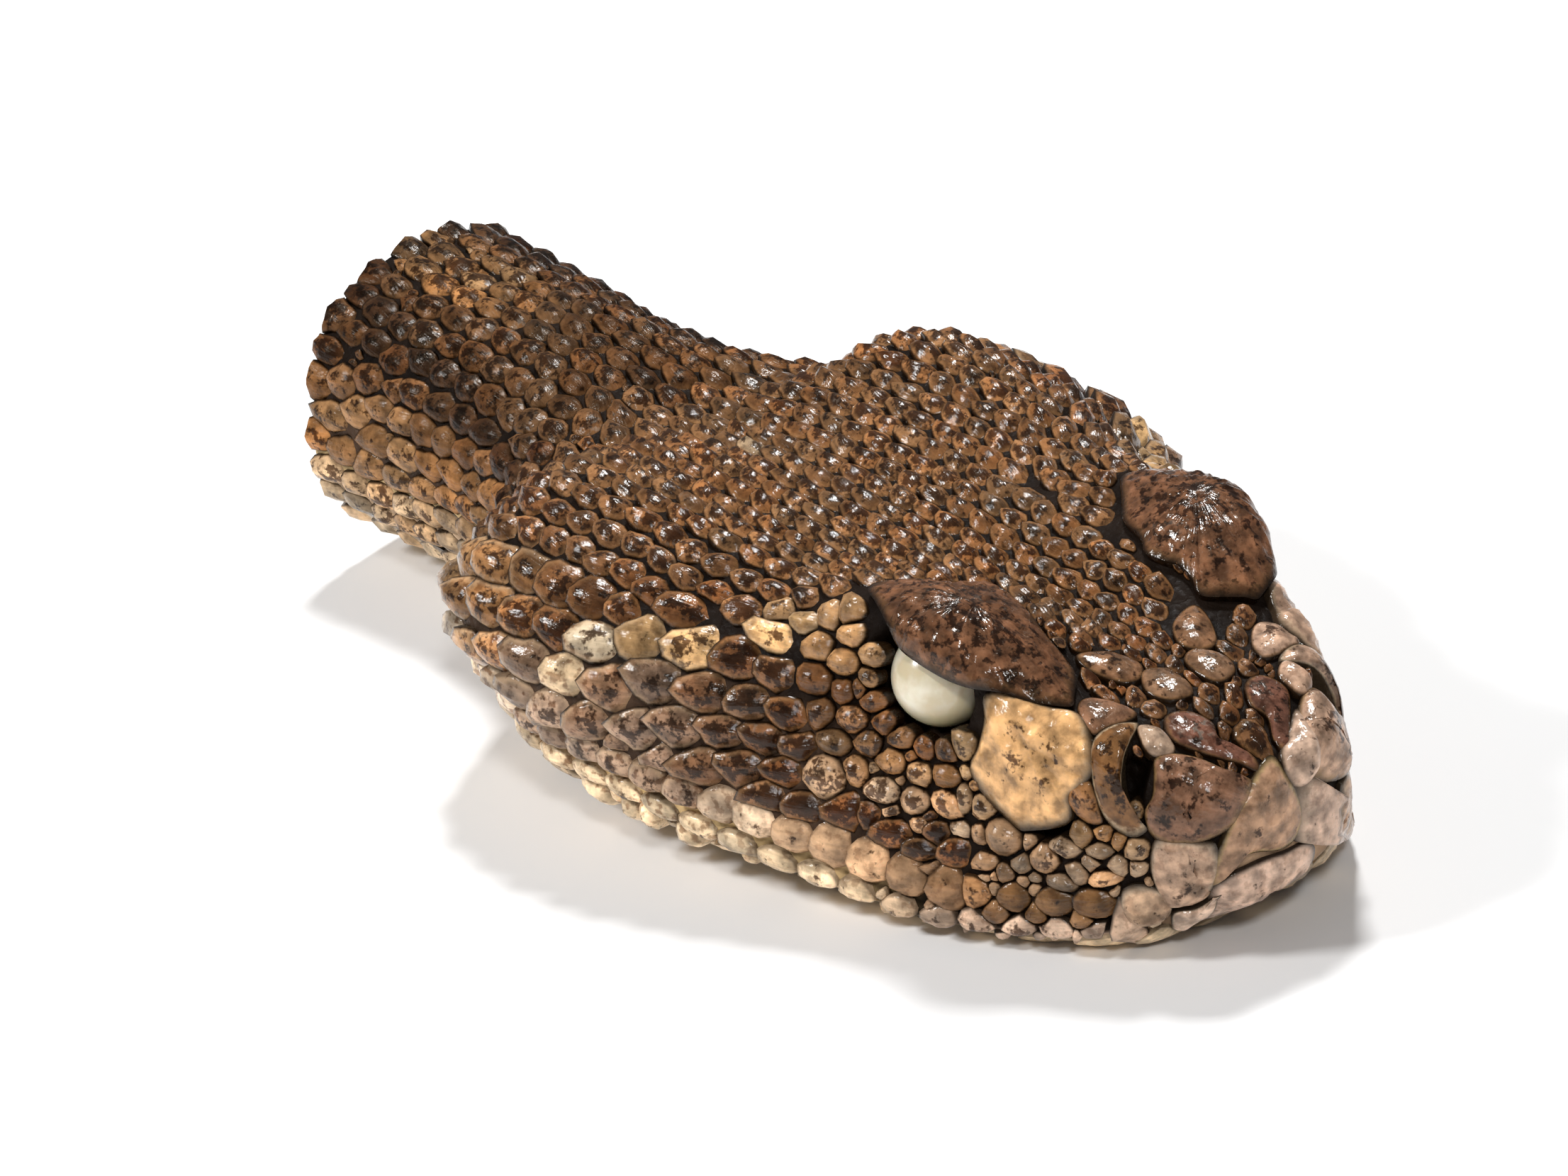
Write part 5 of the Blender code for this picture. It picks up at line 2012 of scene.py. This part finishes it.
        walls = np.concatenate([*(plate.ring(outline, 1.0) for plate, outline in edges), self.bounds()])
        free = self.lattices()
        seats = free[0].join(*free[1:], *self.lips(), self.beads(), self.pit_beads())
        seats = seats.take(~self.blocked(seats, edges))
        scales = ScaleField(seats, walls)
        scales.seats.shake(rng, 0.07, 7.0)
        scales.thin(0.72)
        scales.settle()
        scales.thin(0.6)
        bare = Lattice(Kind.BEAD, (
            (0.0, 0.3, 0.4, -5.2, 5.2), (-15.0, 0.32, 0.5, -5.2, 5.2), (-20.0, 0.6, 1.0, -5.2, 5.2),
            (-78.0, 0.7, 1.2, -5.2, 5.2),
        ), -0.6, -77.2).seats()
        bare = bare.take(~self.blocked(bare, edges))
        half = np.abs(bare.line)
        shields = (bare.run > self.shield_run[0]) & (bare.run < self.shield_run[1])
        shields &= (half > self.shield_line[0]) & (half < self.shield_line[1])
        scales.fill(bare, 0.36, 0.9)
        scales.fill(bare.take(~shields), 0.17, 0.8)
        groups = np.array([GROUPS[Kind(k)] for k in scales.seats.kind])
        stock = {name: MeshStock() for name in dict.fromkeys(GROUPS.values())}
        ScaleMaker().raise_all(scales, stock, groups)
        for name, gathered in stock.items():
            dress(gathered.make(f"{name}_scales", finish))


@dataclass(frozen=True)
class Studio:
    """The photograph's camera, a plain pale floor and soft lights."""

    floor_half: float = 1.5
    sensor_mm: float = 36.0
    world_light: float = 0.15
    lamps: tuple = (
        ("key", (-0.12, 0.14, 0.42), 0.07, 1.75), ("side", (-0.14, -0.34, 0.36), 0.08, 1.6),
        ("front", (0.38, -0.16, 0.34), 0.06, 0.9),
    )
    backdrop: Colour = (0.86, 0.86, 0.86)

    def camera(self) -> None:
        """Sets the camera at the photograph's viewing angle."""
        eye, right, up, ahead = LENS.axes()
        lens = bpy.data.cameras.new("photo_camera")
        lens.sensor_width = self.sensor_mm
        lens.sensor_fit = "HORIZONTAL"
        lens.lens = LENS.focal_pixels / LENS.image[0] * self.sensor_mm
        lens.clip_start = 0.01
        camera = bpy.data.objects.new("photo_camera", lens)
        place = Matrix((
            (right[0], up[0], -ahead[0], (eye[0] + SNOUT_TIP_X) * MM),
            (right[1], up[1], -ahead[1], eye[1] * MM),
            (right[2], up[2], -ahead[2], eye[2] * MM),
            (0.0, 0.0, 0.0, 1.0),
        ))
        camera.matrix_world = place
        bpy.context.scene.collection.objects.link(camera)
        bpy.context.scene.camera = camera

    def floor(self) -> None:
        """A pale floor, faintly uneven in tone."""
        sheet = NodeSheet("pale_floor")
        tone = sheet.ramp(sheet.noise(60.0, 2.0), 0.3, 0.7, 0.98, 1.0)
        sheet.shade(Base_Color=sheet.mix(1.0, self.backdrop, tone, "MULTIPLY"), Roughness=0.9)
        half = self.floor_half
        mesh = bpy.data.meshes.new("floor")
        corners = [(-half, -half, 0.0), (half, -half, 0.0), (half, half, 0.0), (-half, half, 0.0)]
        mesh.from_pydata(corners, [], [(0, 1, 2, 3)])
        mesh.materials.append(sheet.material)
        floor = bpy.data.objects.new("floor", mesh)
        bpy.context.scene.collection.objects.link(floor)
        floor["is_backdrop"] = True

    def lamp(self, name: str, place: tuple, size: float, watts: float) -> None:
        """A square soft light aimed at the part.

        Args:
            name: the light's name.
            place: where it hangs, in metres.
            size: its side, in metres.
            watts: its power.
        """
        light = bpy.data.lights.new(name, "AREA")
        light.shape = "SQUARE"
        light.size = size
        light.energy = watts
        lamp = bpy.data.objects.new(name, light)
        lamp.location = place
        aim = Vector((0.0, 0.0, 0.01)) - Vector(place)
        lamp.rotation_euler = aim.to_track_quat("-Z", "Y").to_euler()
        bpy.context.scene.collection.objects.link(lamp)

    def build(self) -> None:
        """Sets the world, floor, lights and camera."""
        world = bpy.data.worlds.new("studio")
        world.use_nodes = True
        shade = world.node_tree.nodes["Background"]
        shade.inputs["Color"].default_value = (1.0, 1.0, 1.0, 1.0)
        shade.inputs["Strength"].default_value = self.world_light
        bpy.context.scene.world = world
        bpy.context.scene.view_settings.view_transform = "Standard"
        self.floor()
        for name, place, size, watts in self.lamps:
            self.lamp(name, place, size, watts)
        self.camera()


def main() -> None:
    """Builds every piece in order."""
    logging.basicConfig(level=logging.INFO, format="%(message)s")
    eye = Eye()
    skin = SkinShell().build(eye, SkinFinish("bare_skin").material())
    dress(skin, "head")
    eye_finish = EyeFinish("clouded_eye").material()
    for label, side in (("right", -1.0), ("left", 1.0)):
        dress(eye.build(side, f"{label}_clouded_eye", eye_finish), f"{label}_eye")
    scale_finish = ScaleFinish("dried_scale").material()
    plate_finish = ScaleFinish("dried_plate", rim_start=0.84, rim_end=0.97, blotch_middle=0.1, mottle_mm=0.8)
    plate_finish = plate_finish.material()
    Covering(eye).build(scale_finish, plate_finish)
    Studio().build()


if __name__ == "__main__":
    main()
